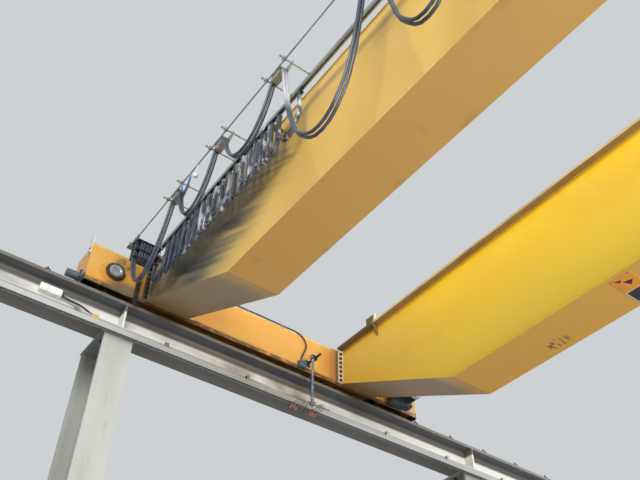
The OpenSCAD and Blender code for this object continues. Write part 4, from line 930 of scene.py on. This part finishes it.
trolley_steel = coat("olive_grey_trolley_steel", "#A3A898", [
    film("#6E7466", 0.6, 0.05),
    film("#C9CBC6", 0.6, 0.015, between=(0.58, 0.66))], roughness=0.36, metallic=0.55)
dress(trolley_steel, "cable_trolleys")
bolts("roller_pins", [at((x, AXLE_FACE, AXLE_Z), (0, -1, 0)) for x in AXLE_XS], across=0.015,
      stud=0.004, material=plated_steel, slot="trolley_steel")
collars = set_out(ring(0.0072, 0.012, 0.004, "axle_collar", 12), [
    at((x, y, AXLE_Z), (0, 1, 0)) for x in AXLE_XS for y in COLLAR_YS], "axle_collars")
bright_steel = coat("polished_axle_steel", "#DDE0E2", [
    film("#8C8F92", 0.4, 0.01)], roughness=0.22, metallic=0.6)
fit(collars, bright_steel, "trolley_steel")
straps = [block((x - 0.010, LANE_Y - 0.034, SADDLE_Z + 0.045),
                (x + 0.010, LANE_Y + 0.034, SADDLE_Z + 0.082), "strap", 0.004)
          for x in [trolley + dx for trolley in TROLLEY_XS for dx in (-0.050, 0.050)]]
fit(joined(straps, "saddle_straps"), trolley_steel, "trolley_steel")

# Round cables: two heavy rubber-sheathed leads that run over every saddle and hang between the
# trolleys, in short loops where the trolleys are pushed together and long ones to the crab.
CLAMP_X = -8.441
CLAMP_LOW = 6.7895
TOW_X = 0.790
LOOP_DROPS = [0.66, 0.50, 0.49] + [1.29] * 7
UNEVEN = 0.006
LEAD_YS = (-2.698, -2.670)
LONGER = 0.018
CABLE_RADIUS = 0.013


def hanging(start, end, drop, count=11):
    """Points of a cable that hangs between two points, lowest that far under the lower end.
    The curve's size in metres is found by halving between a tight curve and a slack one."""
    half = (end[0] - start[0]) / 2
    tight, slack = 0.02, 40.0
    for _ in range(60):
        middle = (tight + slack) / 2
        if middle * (cosh(half / middle) - 1) > drop:
            tight = middle
        else:
            slack = middle
    reach = middle * sinh(half / middle)
    points = []
    for i in range(count):
        along = middle * asinh((2 * reach * i / (count - 1) - reach) / middle)
        share = (along / half + 1) / 2
        height = start[2] + (end[2] - start[2]) * share
        points.append((start[0] + half + along, start[1] + (end[1] - start[1]) * share,
                       height - drop + middle * (cosh(along / middle) - 1)))
    return points


def over_saddle(x, y, count=5):
    angles = [pi * k / (count - 1) for k in range(count)]
    return [(x - SADDLE_RADIUS * cos(angle), y, SADDLE_Z + SADDLE_RADIUS * sin(angle))
            for angle in angles]


def round_route(y, longer):
    """A lead's way from the end clamp over the saddles to the tow arm, each loop uneven."""
    shape = random.Random(7)
    starts = [(CLAMP_X, y, CLAMP_LOW)] + [(x + SADDLE_RADIUS, y, SADDLE_Z) for x in TROLLEY_XS]
    ends = [(x - SADDLE_RADIUS, y, SADDLE_Z) for x in TROLLEY_XS] + [(TOW_X, y, SADDLE_Z)]
    route = []
    for i, (start, end, drop) in enumerate(zip(starts, ends, LOOP_DROPS)):
        lower = drop * (1 + longer) * (1 + shape.uniform(-UNEVEN, UNEVEN))
        if i == 0:
            lower = drop - (SADDLE_Z - CLAMP_LOW) / 2
        sway = shape.uniform(-UNEVEN, UNEVEN)
        loop = hanging(start, end, lower)
        loop = [(px, py + sway * sin(pi * k / (len(loop) - 1)), pz)
                for k, (px, py, pz) in enumerate(loop)]
        route += loop[1:] if route else loop
        if i < len(TROLLEY_XS):
            route += over_saddle(TROLLEY_XS[i], y)[1:]
    return route


cable_sheath = coat("blue_black_rubber_sheath", "#3A4150", [
    film("#22252E", 0.6, 0.25),
    # painted highlight on the left leg of one long loop
    film("#C4C9D0", 0.85, patch=((-5.72, LANE_Y, 6.62), (0.16, 0.3, 0.46)), core=0.3),
    film("#6C6F76", 0.4, (0.1, 0.1, 0.6), between=(0.5, 0.75))],
    roughness=0.34, grain=0.05, lumps=0.0001)
round_leads = cable([round_route(LEAD_YS[0], 0.0), round_route(LEAD_YS[1], LONGER)],
                    CABLE_RADIUS, "festoon_leads")
fit(round_leads, cable_sheath, "cable_rubber", "festoon_cables")

# Flat cables: a curtain of flat control cable in the track, folded into short loops on plastic
# carriers. The loops hang unevenly, each a little turned and of its own length. Pale streaks on
# the loops are painted highlights, dark blotches are painted shadow, and the end by the clamp
# is painted dark blue as shade.
TRACK_Y = -2.456
CARRIER_XS = [-8.155 + 0.118 * i for i in range(18)] + [-5.828]
CARRIER_HOLD = 0.0065
CLAMP_HOLD = 0.0275
FLAT_TOP = 6.9355
FLAT_LOW = 6.4755
FLAT_HALF = 0.0155
FLAT_THICK = 0.0075
NESTED = (0.0, 0.011, 0.022)

flat_sheath = coat("grey_flat_cable_sheath", "#555A66", [
    # painted highlights: pale streaks on the loops
    film("#D4D8DC", 0.9, (0.045, 0.3, 0.22), between=(0.52, 0.62)),
    # painted shadow: dark blotches on the loops
    film("#24262C", 0.8, (0.06, 0.06, 0.14), between=(0.52, 0.64)),
    # painted shade over the end by the clamp
    film("#2E3A4E", 0.92, patch=((-8.4, TRACK_Y, 6.75), (1.1, 1.0, 1.0)), core=0.4)],
    roughness=0.30, grain=0.006, lumps=0.0003)


def flat_strip(x, width, top, low):
    """A strip of flat cable from that height down in a loop and up to the next carrier."""
    bulge = width * 0.10 * 0.3
    route = [(0.0, top), (-bulge, (top + low) / 2), (width * 0.03, low + width * 0.5),
             (width / 2, low), (width * 0.97, low + width * 0.5),
             (width + bulge, (FLAT_TOP + low) / 2), (width, FLAT_TOP)]
    made = swept([[(across, height, 0.0) for across, height in route]], FLAT_THICK / 2,
                 "flat_loop", 1, half_width=FLAT_HALF - FLAT_THICK / 2)
    made.data.transform(Matrix.Translation((x, TRACK_Y, 0)) @ Matrix.Rotation(pi / 2, 4, "X"))
    return made


sway = random.Random(11)
strips = []
starts = [CLAMP_X + CLAMP_HOLD] + [x + CARRIER_HOLD for x in CARRIER_XS[:-1]]
for i, start in enumerate(starts):
    width = CARRIER_XS[i] - CARRIER_HOLD - start
    low = FLAT_LOW + sway.uniform(-0.002, 0.030)
    lean = radians(sway.uniform(-7, 7)) if 0 < i < len(starts) - 1 else 0.0
    centre = Vector((start + width / 2, TRACK_Y, 0))
    turn = (Matrix.Translation(centre) @ Matrix.Rotation(lean, 4, "Z")
            @ Matrix.Translation(-centre))
    for inset in NESTED:
        rise = inset + sway.uniform(0.0, 0.05) if inset else 0.0
        strip = flat_strip(start + inset, width - 2 * inset, FLAT_TOP if i else CLAMP_LOW,
                           low + rise)
        strip.data.transform(turn)
        strips.append(strip)
flat_curtain = joined(strips, "flat_curtain")
shade_smooth(flat_curtain, 50)
fit(flat_curtain, flat_sheath, "flat_cable_sheath", "flat_cables")

# Cable carriers and end clamp: black nylon carriers whose runners sit in the track, and a cage
# of bars and tie rods at the end of it, packed with the leads that go on to the crab.
RUNNER_LOW, RUNNER_TOP = 6.9828, 7.0008
CLAMP_FRONT = -2.712
CLAMP_BACK = -2.424
CLAMP_TOP = 7.0395
CAGE_START, CAGE_END = -8.488, -8.386
CAGE_BARS = ((7.0275, 7.0395), (6.900, 6.916), (6.8015, 6.8175))
BUNCH_RADIUS = 0.0115
LEAN_Z = 6.91
SINGLE_YS = (*LEAD_YS, -2.472)
BUNCH_YS = (*LEAD_YS, -2.645, -2.618, -2.592, -2.566, -2.540, -2.514, -2.472)

carrier_plastic = coat("black_nylon", "#202226", [
    film("#4A4A4C", 0.5, 0.03)], roughness=0.45, grain=0.006)
bolts("carrier_screws", [
    at((x, TRACK_Y + dy, FLAT_TOP), (0, 0, -1)) for x in CARRIER_XS for dy in (-0.018, 0.018)],
    across=0.010, material=plated_steel, slot="carrier_plastic")
carrier = joined([
    block((-0.026, TRACK_Y - 0.021, FLAT_TOP), (0.026, TRACK_Y + 0.021, FLAT_TOP + 0.006),
          "plate", 0.002, 1),
    block((-0.020, TRACK_Y - 0.004, FLAT_TOP + 0.006), (0.020, TRACK_Y + 0.004, RUNNER_LOW),
          "stem", 0.001, 1),
    block((-0.020, TRACK_Y - 0.012, RUNNER_LOW), (0.020, TRACK_Y + 0.012, RUNNER_TOP),
          "runner", 0.004)], "carrier")
carriers = set_out(carrier, [Matrix.Translation((x, 0, 0)) for x in CARRIER_XS], "carriers")
clamp_parts = [block((CAGE_START - 0.008, CLAMP_FRONT, CLAMP_LOW),
                     (CAGE_START, CLAMP_BACK, CLAMP_TOP), "back", 0.002, 1)]
clamp_parts += [block((CAGE_START, CLAMP_FRONT, low), (CAGE_END, CLAMP_BACK, high), "bar", 0.003, 1)
                for low, high in CAGE_BARS]
clamp_parts += [straight([[(CLAMP_X + dx, y, z) for z in (CLAMP_LOW, CLAMP_TOP)]], 0.005,
                         "tie_rod", 2)
                for dx in (-0.036, 0.044) for y in (CLAMP_FRONT + 0.012, CLAMP_BACK - 0.012)]
fit(joined(clamp_parts + [carriers], "carriers_and_clamp"), carrier_plastic, "carrier_plastic",
    "cable_carriers")
bunch_shape = random.Random(5)
bunch = []
for y in BUNCH_YS:
    for dx in (0.0,) if y in SINGLE_YS else (-0.024, 0.004, 0.030):
        lean = bunch_shape.uniform(-0.004, 0.004)
        x = CLAMP_X + dx
        bunch.append([(x, y, CLAMP_LOW), (x + lean, y + lean, LEAN_Z),
                      (x, y, CLAMP_TOP - 0.006)])
fit(cable(bunch, BUNCH_RADIUS, "clamped_leads", 2), cable_sheath, "cable_rubber")

# Collector: a black bar on the truck's inner face, a grey-blue arm clamped to it, and a light
# rod that carries two worn copper shoes on pins under the housing. Thin leads run from the
# shoes to the box, and the black cable climbs the face in one bend to the festoon's clamp.
ARM_X, ARM_Y = -8.654, -0.250
ARM_HALF = 0.023
BAR_Z = 6.7225
BAR_FACE = -8.798
CARRIAGE_Z = 6.104
SHOE_X = -8.837
SHOE_YS = (-0.383, -0.117)
SHOE_LOW = 6.084
CASE_LOW = Vector((-8.804, -0.366, 6.6155))
CASE_HIGH = Vector((-8.746, -0.273, 6.7015))
CASE_LID = 0.014
CASE_SCREW_YS, CASE_SCREW_ZS = (-0.354, -0.285), (6.627, 6.690)
CASE_GLAND = (-8.7935, -0.320, 6.7015)
BAR_BOLT_YS = (-0.248, -0.194)
BAND_ZS = (6.672, 6.52, 6.30, 6.16)
LEAD_RADIUS = 0.003
CLIMB_RADIUS = 0.009
SPRING_RADIUS = 0.0028
SHOE_LEADS = [
    [(SHOE_X, -0.432, 6.100), (SHOE_X + 0.01, -0.448, 6.070), (SHOE_X + 0.03, -0.43, 6.022),
     (SHOE_X + 0.05, -0.37, 5.995), (SHOE_X + 0.06, -0.31, 6.020), (-8.700, -0.285, 6.085),
     (-8.674, -0.272, 6.180), (-8.672, -0.271, 6.330), (-8.674, -0.271, 6.500),
     (-8.700, -0.285, 6.575), (-8.762, -0.300, 6.588), (-8.775, -0.302, 6.622)],
    [(SHOE_X, -0.070, 6.100), (SHOE_X + 0.02, -0.052, 6.075), (SHOE_X + 0.05, -0.070, 6.045),
     (-8.740, -0.150, 6.040), (-8.690, -0.225, 6.085), (-8.668, -0.232, 6.190),
     (-8.666, -0.231, 6.340), (-8.668, -0.232, 6.500), (-8.700, -0.262, 6.570),
     (-8.762, -0.330, 6.582), (-8.775, -0.332, 6.622)]]
CLIMB = [
    (-8.7945, -0.320, 6.700), (-8.792, -0.318, 6.760), (-8.784, -0.296, 6.830),
    (-8.780, -0.274, 6.890), (-8.780, -0.264, 6.950), (-8.786, -0.282, 7.020),
    (-8.791, -0.326, 7.074), (-8.7945, -0.390, 7.0990), (-8.7945, -0.560, 7.1038),
    (-8.7945, -1.250, 7.1040), (-8.7945, -2.250, 7.1038), (-8.7945, -2.400, 7.1038),
    (-8.783, -2.455, 7.1038), (-8.735, -2.472, 7.1035), (-8.640, -2.472, 7.100),
    (-8.520, -2.472, 7.0985), (-8.470, -2.472, 7.090), (-8.446, -2.472, 7.070),
    (-8.441, -2.472, 7.036)]
CLIP_YS = (-0.62, -1.10, -1.55, -1.95, -2.30)
CLIP_XS, CLIP_ZS = (-8.8045, -8.782), (7.093, 7.1145)

arm_paint = coat("grey_blue_arm_paint", "#5F7286", [
    film("#3B4654", 0.6, (0.03, 0.03, 0.15)),
    film("#A9B0B6", 0.5, (0.01, 0.01, 0.05), between=(0.58, 0.66))], roughness=0.4)
shoe_copper = coat("worn_copper", "#A8776A", [
    film("#6E4A3E", 0.7, 0.02),
    film("#D8B0A4", 0.6, (0.01, 0.03, 0.01), between=(0.55, 0.65))],
    roughness=0.38, metallic=0.5)
case_plastic = coat("blue_grey_case_plastic", "#4D5C6B", [
    film("#2E3742", 0.6, 0.04)], roughness=0.5, grain=0.004)
dress(guard_coat, "collector_bracket")
dress(arm_paint, "collector_arm")
dress(galvanised, "collector_carriage")
dress(shoe_copper, "collector_shoes")
case_screw = turned([(0.0, 0.0), (0.005, 0.0), (0.005, 0.0015), (0.0, 0.002)], "case_screw", 10)
case_screws = set_out(case_screw, [
    at((CASE_HIGH.x - 0.0015, y, z), (1, 0, 0)) for y in CASE_SCREW_YS for z in CASE_SCREW_ZS],
    "case_screws")
fit(joined(lidded_case(CASE_LOW, CASE_HIGH, CASE_LID, 0.004, "case") + [case_screws],
           "collector_case"), case_plastic, "collector_box_plastic", "collector_box")
bolts("arm_nuts", [
    at((ARM_X + dx, ARM_Y - ARM_HALF, BAR_Z + dz), (0, -1, 0))
    for dx in (-0.014, 0.014) for dz in (-0.014, 0.014)]
    + [at((ARM_X + ARM_HALF, ARM_Y + dy, CARRIAGE_Z), (1, 0, 0)) for dy in (-0.012, 0.012)]
    + [at((BAR_FACE, y, BAR_Z), (1, 0, 0)) for y in BAR_BOLT_YS], across=0.016, stud=0.008,
    material=plated_steel)
bands = set_out(ring(0.0153, 0.0185, 0.009, "band", 20), [
    at((ARM_X, ARM_Y, z)) for z in BAND_ZS], "arm_bands")
fit(bands, plated_steel, "collector_paint")
bolts("shoe_nuts", [
    at((SHOE_X, y + dy, SHOE_LOW), (0, 0, -1)) for y in SHOE_YS for dy in (-0.038, 0.038)],
    across=0.009, material=bright_steel, slot="shoe_copper")
springs = [[(ARM_X + 0.006, y, CARRIAGE_Z + 0.010), (ARM_X - 0.050, y, CARRIAGE_Z + 0.024),
            (SHOE_X + 0.050, y, CARRIAGE_Z + 0.012), (SHOE_X + 0.014, y, CARRIAGE_Z - 0.004)]
           for y in [shoe + dy for shoe in SHOE_YS for dy in (-0.020, 0.020)]]
fit(cable(springs, SPRING_RADIUS, "shoe_springs", 2, 5), guard_coat, "dark_steel")
fit(cable(SHOE_LEADS, LEAD_RADIUS, "shoe_leads", 2, 5), rubber, "cable_rubber")
fit(cable([CLIMB], CLIMB_RADIUS, "collector_lead", 3, 6), rubber, "cable_rubber",
    "collector_cable")
clips = [block((CLIP_XS[0], y - 0.009, CLIP_ZS[0]), (CLIP_XS[1], y + 0.009, CLIP_ZS[1]), "clip",
               0.003, 1) for y in CLIP_YS]
fit(joined(clips, "cable_clips"), plated_steel, "dark_steel")
fit_turned([(0.0, 0.0), (0.015, 0.0), (0.015, 0.008), (0.012, 0.009), (0.012, 0.020),
            (0.0095, 0.026), (0.0, 0.026)], at(CASE_GLAND), "case_gland", 12,
           rubber, "cable_rubber")

# Sign: an orange enamelled sheet under the back girder with two plain black darts that point
# down the span, and a black field with a pale rim. It is screwed on at its corners.
SIGN_LOW = Vector((-5.160, 0.323, 5.7975))
SIGN_HIGH = Vector((-4.960, 0.743, 5.8005))
FIELD_Y = 0.560
DARTS = (((-5.100, 0.372), 0.042, 0.022), ((-5.040, 0.442), 0.052, 0.044))
DART_TURN = radians(131)


def sign_field(inset, start, depth, name):
    """A thin field on the sign's underside, inset from the edges of the sheet."""
    return block((SIGN_LOW.x + inset, start, SIGN_LOW.z - depth),
                 (SIGN_HIGH.x - inset, SIGN_HIGH.y - inset, SIGN_LOW.z + 0.001), name, 0)


sign_coat = coat("orange_enamel_sheet", "#DC8F2E", [film("#A8793C", 0.5, 0.12)], roughness=0.5)
dress(sign_coat, "sign_plate")
marks = []
for (x, y), reach, half in DARTS:
    dart = upright(3, 1.0, 0.002, -0.001, "dart")
    dart.data.transform(Matrix.Translation((x, y, SIGN_LOW.z))
                        @ Matrix.Rotation(DART_TURN, 4, "Z")
                        @ Matrix.Diagonal((half, reach, 1.0, 1.0)))
    marks.append(dart)
marks.append(sign_field(0.010, FIELD_Y, 0.001, "sign_field"))
fit(joined(marks, "sign_marks"), guard_coat, "dark_steel")
fit(sign_field(0.002, FIELD_Y - 0.008, 0.0005, "sign_rim"), plate_paint, "sign_paint")
bolts("sign_screws", [
    at((x, y, SIGN_LOW.z), (0, 0, -1)) for x in (SIGN_LOW.x + 0.016, SIGN_HIGH.x - 0.016)
    for y in (SIGN_LOW.y + 0.016, SIGN_HIGH.y - 0.016)], across=0.010, material=plated_steel)

# Travel wheels: forged double-flanged wheels, the tread rolled bright and the flanks brown.
# The crab's smaller wheels are made and worn the same way.
wheel_steel = coat("forged_wheel_steel", "#5E5650", [
    film("#3A302A", 0.7, 0.08),
    film("#8B867F", 0.5, (0.2, 0.02, 0.02), between=(0.5, 0.66))], roughness=0.38, metallic=0.7)
dress(wheel_steel, "front_left_wheel", "back_left_wheel", "front_right_wheel",
      "back_right_wheel", "crab_wheels")

# Crab: a welded frame of box beams in the girders' yellow on four wheels. Its corners are
# bolted, and weld beads close the beams' edges.
CRAB_X = 0.900
CRAB_HALF = 0.950
CRAB_INSIDE = 0.997
CRAB_OUTSIDE = 1.177
CORNER_SEAM_ZS = (7.368, 7.538)
EDGE_SEAM_Z = 7.5405
EDGE_SEAM_HALF = 0.94

crab_coat = coat("crab_yellow_enamel", "#DDAF2E", [
    film("#C49A3A", 0.6, (0.4, 0.4, 0.3)),
    film("#6A5236", 0.6, 0.12, between=(0.58, 0.72)),
    # painted shade on the undersides
    film("#8A6C3C", 0.8, side="under")], roughness=0.42, grain=0.02)
dress(crab_coat, "crab_side_beams", "crab_cross_beams")
bolts("crab_bolts", [
    at((CRAB_X + side * (CRAB_HALF - 0.09) + dx, BRIDGE_Y + row * CRAB_OUTSIDE, z), (0, row, 0))
    for side in BOTH for row in BOTH for dx in (-0.05, 0.05) for z in (7.40, 7.50)], across=0.024,
    stud=0.01)
crab_seams = [[(CRAB_X + side * (CRAB_HALF - inset), BRIDGE_Y + row * CRAB_INSIDE, z)
               for z in CORNER_SEAM_ZS] for side in BOTH for row in BOTH
              for inset in (0.004, 0.180)]
crab_seams += [[(CRAB_X + end * EDGE_SEAM_HALF, BRIDGE_Y + row * (CRAB_OUTSIDE - 0.003),
                 EDGE_SEAM_Z) for end in BOTH] for row in BOTH]
fit(straight(crab_seams, BEAD, "crab_welds"), crab_coat, "crab_paint")

# Hoist: a drum with a rope groove turned along its shell between two flanges, a gearbox with a
# ribbed cover and a finned motor beside it. The ropes are greased and laid in the grooves.
DRUM_Z = 7.8125
DRUM_RADIUS = 0.210
DRUM_FLANGE = 0.240
DRUM_HALF = 0.897
DRUM_PLATE = 0.020
STUB_RADIUS = 0.050
GROOVE_PITCH = 0.020
GROOVE_DEPTH = 0.004
ROPE_RADIUS = 0.008
ROPE_X = 1.118
ROPE_LOW = 5.400
ROPE_YS = (-0.24, -0.08, 0.08, 0.24)
TURN_STEPS = 24
MOTOR_AXIS = (1.300, 0.223, 7.6925)
GEAR_LOW = Vector((0.740, 0.223, 7.5425))
GEAR_HIGH = Vector((1.420, 0.383, 7.9525))
RIM_YS = (0.290, 0.304)
RIM_BOLT_XS, RIM_BOLT_ZS = (0.77, 0.93, 1.09, 1.25, 1.39), (7.575, 7.92)


def mirrored(half, middle):
    """A lathe outline with the same end above as below, and a middle between them."""
    return [(radius, -height) for radius, height in half] + middle + half[::-1]


drum_steel = coat("greased_drum_steel", "#6F7376", [
    film("#3B362F", 0.7, (0.15, 0.06, 0.15)),
    film("#94989A", 0.4, (0.3, 0.02, 0.3), between=(0.55, 0.7))], roughness=0.36, metallic=0.7)
grooves = int(2 * (DRUM_HALF - 0.07) / GROOVE_PITCH)
grooved = []
for low in [(k - grooves / 2) * GROOVE_PITCH for k in range(grooves)]:
    grooved += [(DRUM_RADIUS, low + 0.001), (DRUM_RADIUS - GROOVE_DEPTH, low + 0.006),
                (DRUM_RADIUS - GROOVE_DEPTH, low + 0.014), (DRUM_RADIUS, low + 0.019)]
drum_end = [(0.0, DRUM_HALF), (STUB_RADIUS, DRUM_HALF), (STUB_RADIUS, DRUM_HALF - DRUM_PLATE),
            (DRUM_FLANGE, DRUM_HALF - DRUM_PLATE), (DRUM_FLANGE, DRUM_HALF - 2 * DRUM_PLATE),
            (DRUM_RADIUS, DRUM_HALF - 2 * DRUM_PLATE)]
fit_turned(mirrored(drum_end, grooved), at((CRAB_X, BRIDGE_Y, DRUM_Z), (0, 1, 0)),
           "grooved_drum", 48, drum_steel, "drum_steel", "hoist_drum")
drive_paint = coat("blue_gear_enamel", "#3A5069", [film("#26303C", 0.6, 0.1)], roughness=0.42)
case = block(GEAR_LOW, GEAR_HIGH, "hoist_gear_case", 0.022, 3)
rim = block((GEAR_LOW.x, RIM_YS[0], GEAR_LOW.z), (GEAR_HIGH.x, RIM_YS[1], GEAR_HIGH.z),
            "gear_rim", 0.003, 1)
motor, cowl = motor_and_cowl(radius=0.120, length=0.400, fins=36,
                             place=at(MOTOR_AXIS, (0, -1, 0)), name="hoist")
rim_bolts = set_out(hexagon_bolt(0.016), [
    at((x, GEAR_HIGH.y, z), (0, 1, 0)) for x in RIM_BOLT_XS for z in RIM_BOLT_ZS], "rim_bolts")
fit(joined([case, rim, motor, rim_bolts], "hoist_gear_motor"), drive_paint, "drive_paint",
    "hoist_drive")
fit(apply_place(cowl, "hoist_cowl"), cowl_paint, "drive_paint")
rope_steel = coat("greased_wire_rope", "#4C4741", [
    film("#8A8681", 0.6, 0.006, turn=30, between=(0.45, 0.6))],
    roughness=0.42, metallic=0.6, grain=0.008, lumps=0.001)
ropes = [[(ROPE_X, BRIDGE_Y + y, z) for z in (DRUM_Z, ROPE_LOW)] for y in ROPE_YS]
for side in BOTH:
    for first, turns in ((0.08, 6), (0.24, 24)):
        steps = [(k, 2 * pi * k / TURN_STEPS) for k in range(TURN_STEPS * turns)]
        ropes.append([(CRAB_X + (ROPE_X - CRAB_X) * cos(angle),
                       BRIDGE_Y + side * (first + GROOVE_PITCH * k / TURN_STEPS),
                       DRUM_Z + (ROPE_X - CRAB_X) * sin(angle)) for k, angle in steps])
fit(straight(ropes, ROPE_RADIUS, "hoist_rope", 2), rope_steel, "rope_steel", "hoist_ropes")

# Hook block: two cheek plates with rounded corners over four grooved sheaves on one pin, a
# swivel below and a forged hook that thickens at its crown and tapers to the point.
SHEAVE_Z = 5.260
SHEAVE_RADIUS = 0.140
SHEAVE_HALF = 0.014
CHEEK_IN, CHEEK_OUT = 0.276, 0.290
CHEEK_HALF = 0.080
CHEEK_ROUND = 0.030
BLOCK_LOW = 5.080
HOOK_Z = 4.722
HOOK_RING = 0.098
HOOK_TUBE = 0.030
HOOK_STEPS = 30

hook_coat = coat("hook_block_yellow", "#D9A92C", [
    film("#8A6A34", 0.6, 0.08),
    film("#4A3B28", 0.7, 0.03, between=(0.6, 0.7))], roughness=0.42)
sheave_side = [(0.0, 0.010), (0.042, 0.010), (0.046, 0.006), (0.110, 0.006),
               (0.116, SHEAVE_HALF), (SHEAVE_RADIUS - 0.002, SHEAVE_HALF),
               (SHEAVE_RADIUS, 0.011), (0.1285, 0.005)]
sheaves = set_out(turned(mirrored(sheave_side, [(0.1270, 0.0)]), "sheave", 40), [
    at((ROPE_X, BRIDGE_Y + y, SHEAVE_Z), (0, 1, 0)) for y in ROPE_YS], "sheaves")
fit(sheaves, drum_steel, "drum_steel")


def runs_across(mesh, edge):
    ends = [mesh.vertices[i].co for i in edge.vertices]
    return abs((ends[0] - ends[1]).normalized().y) > 0.9


frame_parts = []
for side in BOTH:
    ys = sorted(BRIDGE_Y + side * out for out in (CHEEK_IN, CHEEK_OUT))
    cheek = block((ROPE_X - CHEEK_HALF, ys[0], BLOCK_LOW),
                  (ROPE_X + CHEEK_HALF, ys[1], SHEAVE_Z + 0.160), "cheek", 0)
    frame_parts.append(bevelled(cheek, CHEEK_ROUND, 4, "EDGE",
                                lambda edge, mesh=cheek.data: runs_across(mesh, edge)))
frame_parts.append(block((ROPE_X - CHEEK_HALF, BRIDGE_Y - CHEEK_IN, BLOCK_LOW),
                         (ROPE_X + CHEEK_HALF, BRIDGE_Y + CHEEK_IN, BLOCK_LOW + 0.040),
                         "block_beam", 0.006))
fit(joined(frame_parts, "block_frame"), hook_coat, "hook_paint")
pin_end = [(0.0, 0.302), (0.030, 0.302), (0.034, 0.298), (0.034, 0.291), (0.029, 0.290)]
fit_turned(mirrored(pin_end, []), at((ROPE_X, BRIDGE_Y, SHEAVE_Z), (0, 1, 0)), "sheave_pin", 24,
           bolt_steel, "dark_steel")
under_block = Matrix.Translation((ROPE_X, BRIDGE_Y, 0))
fit_turned([(0.0, 4.845), (0.022, 4.845), (0.030, 4.852), (0.030, 4.925), (0.040, 4.930),
            (0.045, 4.938), (0.045, 5.010), (0.040, 5.018), (0.036, 5.050), (0.036, 5.081),
            (0.0, 5.081)], under_block, "swivel", 28, bolt_steel, "dark_steel")
bend = []
widths = []
for share in [k / HOOK_STEPS for k in range(HOOK_STEPS + 1)]:
    angle = radians(90 - 270 * share)
    bend.append((ROPE_X + HOOK_RING * cos(angle), BRIDGE_Y, HOOK_Z + HOOK_RING * sin(angle)))
    widths.append(0.72 + 0.28 * sin(pi * min(1.0, share * 1.25))
                  - (0.45 * max(0.0, share - 0.8) / 0.2))
hook = swept([bend], HOOK_TUBE, "hook", 5, bent=False, widths=widths)
shade_smooth(hook, 60)
neck_low = HOOK_Z + HOOK_RING - 0.012
neck = turned([(0.0, neck_low), (0.021, neck_low), (0.026, 4.840), (0.028, 4.870),
               (0.0, 4.870)], "hook_neck", 20)
neck.data.transform(under_block)
fit(joined([hook, neck], "forged_hook"), bolt_steel, "hook_paint", "hook_block")

# Festoon scraps: what years of mending left in the cables: a blue sling, a white plug on its
# cord, a loose white cord and a scrap of orange tape.
PLUG_X, PLUG_Y = -7.129, -2.722

blue_tie = coat("blue_nylon_tie", "#4E86B8", [film("#2C4E70", 0.5, 0.03)])
white_scrap = coat("white_pvc_tape", "#E4E6E6", [film("#9A9C9C", 0.5, 0.02)])
orange_scrap = coat("orange_pvc_tape", "#D9603A", [film("#8C3A20", 0.4, 0.02)])
sling = cable([[(-7.255, -2.722, 7.016), (-7.268, -2.715, 6.955), (-7.330, -2.706, 6.905),
                (-7.381, -2.700, 6.890), (-7.425, -2.706, 6.930), (-7.432, -2.722, 7.016)]],
              0.010, "blue_sling", 2, 5)
fit(sling, blue_tie, "cable_rubber")
plug = turned([(0.0, 0.0), (0.018, 0.0), (0.022, 0.006), (0.022, 0.034), (0.012, 0.044),
               (0.005, 0.050), (0.0, 0.050)], "white_plug", 16)
plug.data.transform(Matrix.Translation((PLUG_X, PLUG_Y, 6.848)))
cords = cable([[(PLUG_X, PLUG_Y, 7.018), (PLUG_X + 0.005, PLUG_Y, 6.955), (PLUG_X, PLUG_Y, 6.894)],
               [(-5.971, -2.700, 6.390), (-5.900, -2.712, 6.446), (-5.792, -2.716, 6.449),
                (-5.740, -2.706, 6.410), (-5.690, -2.700, 6.430), (-5.601, -2.700, 6.462)]],
              0.0035, "white_cords", 2, 6)
fit(joined([plug, cords], "white_scraps"), white_scrap, "cable_rubber")
tape = block((-6.758, -2.724, 6.880), (-6.722, -2.7175, 6.914), "orange_tape", 0.002)
fit(tape, orange_scrap, "cable_rubber")
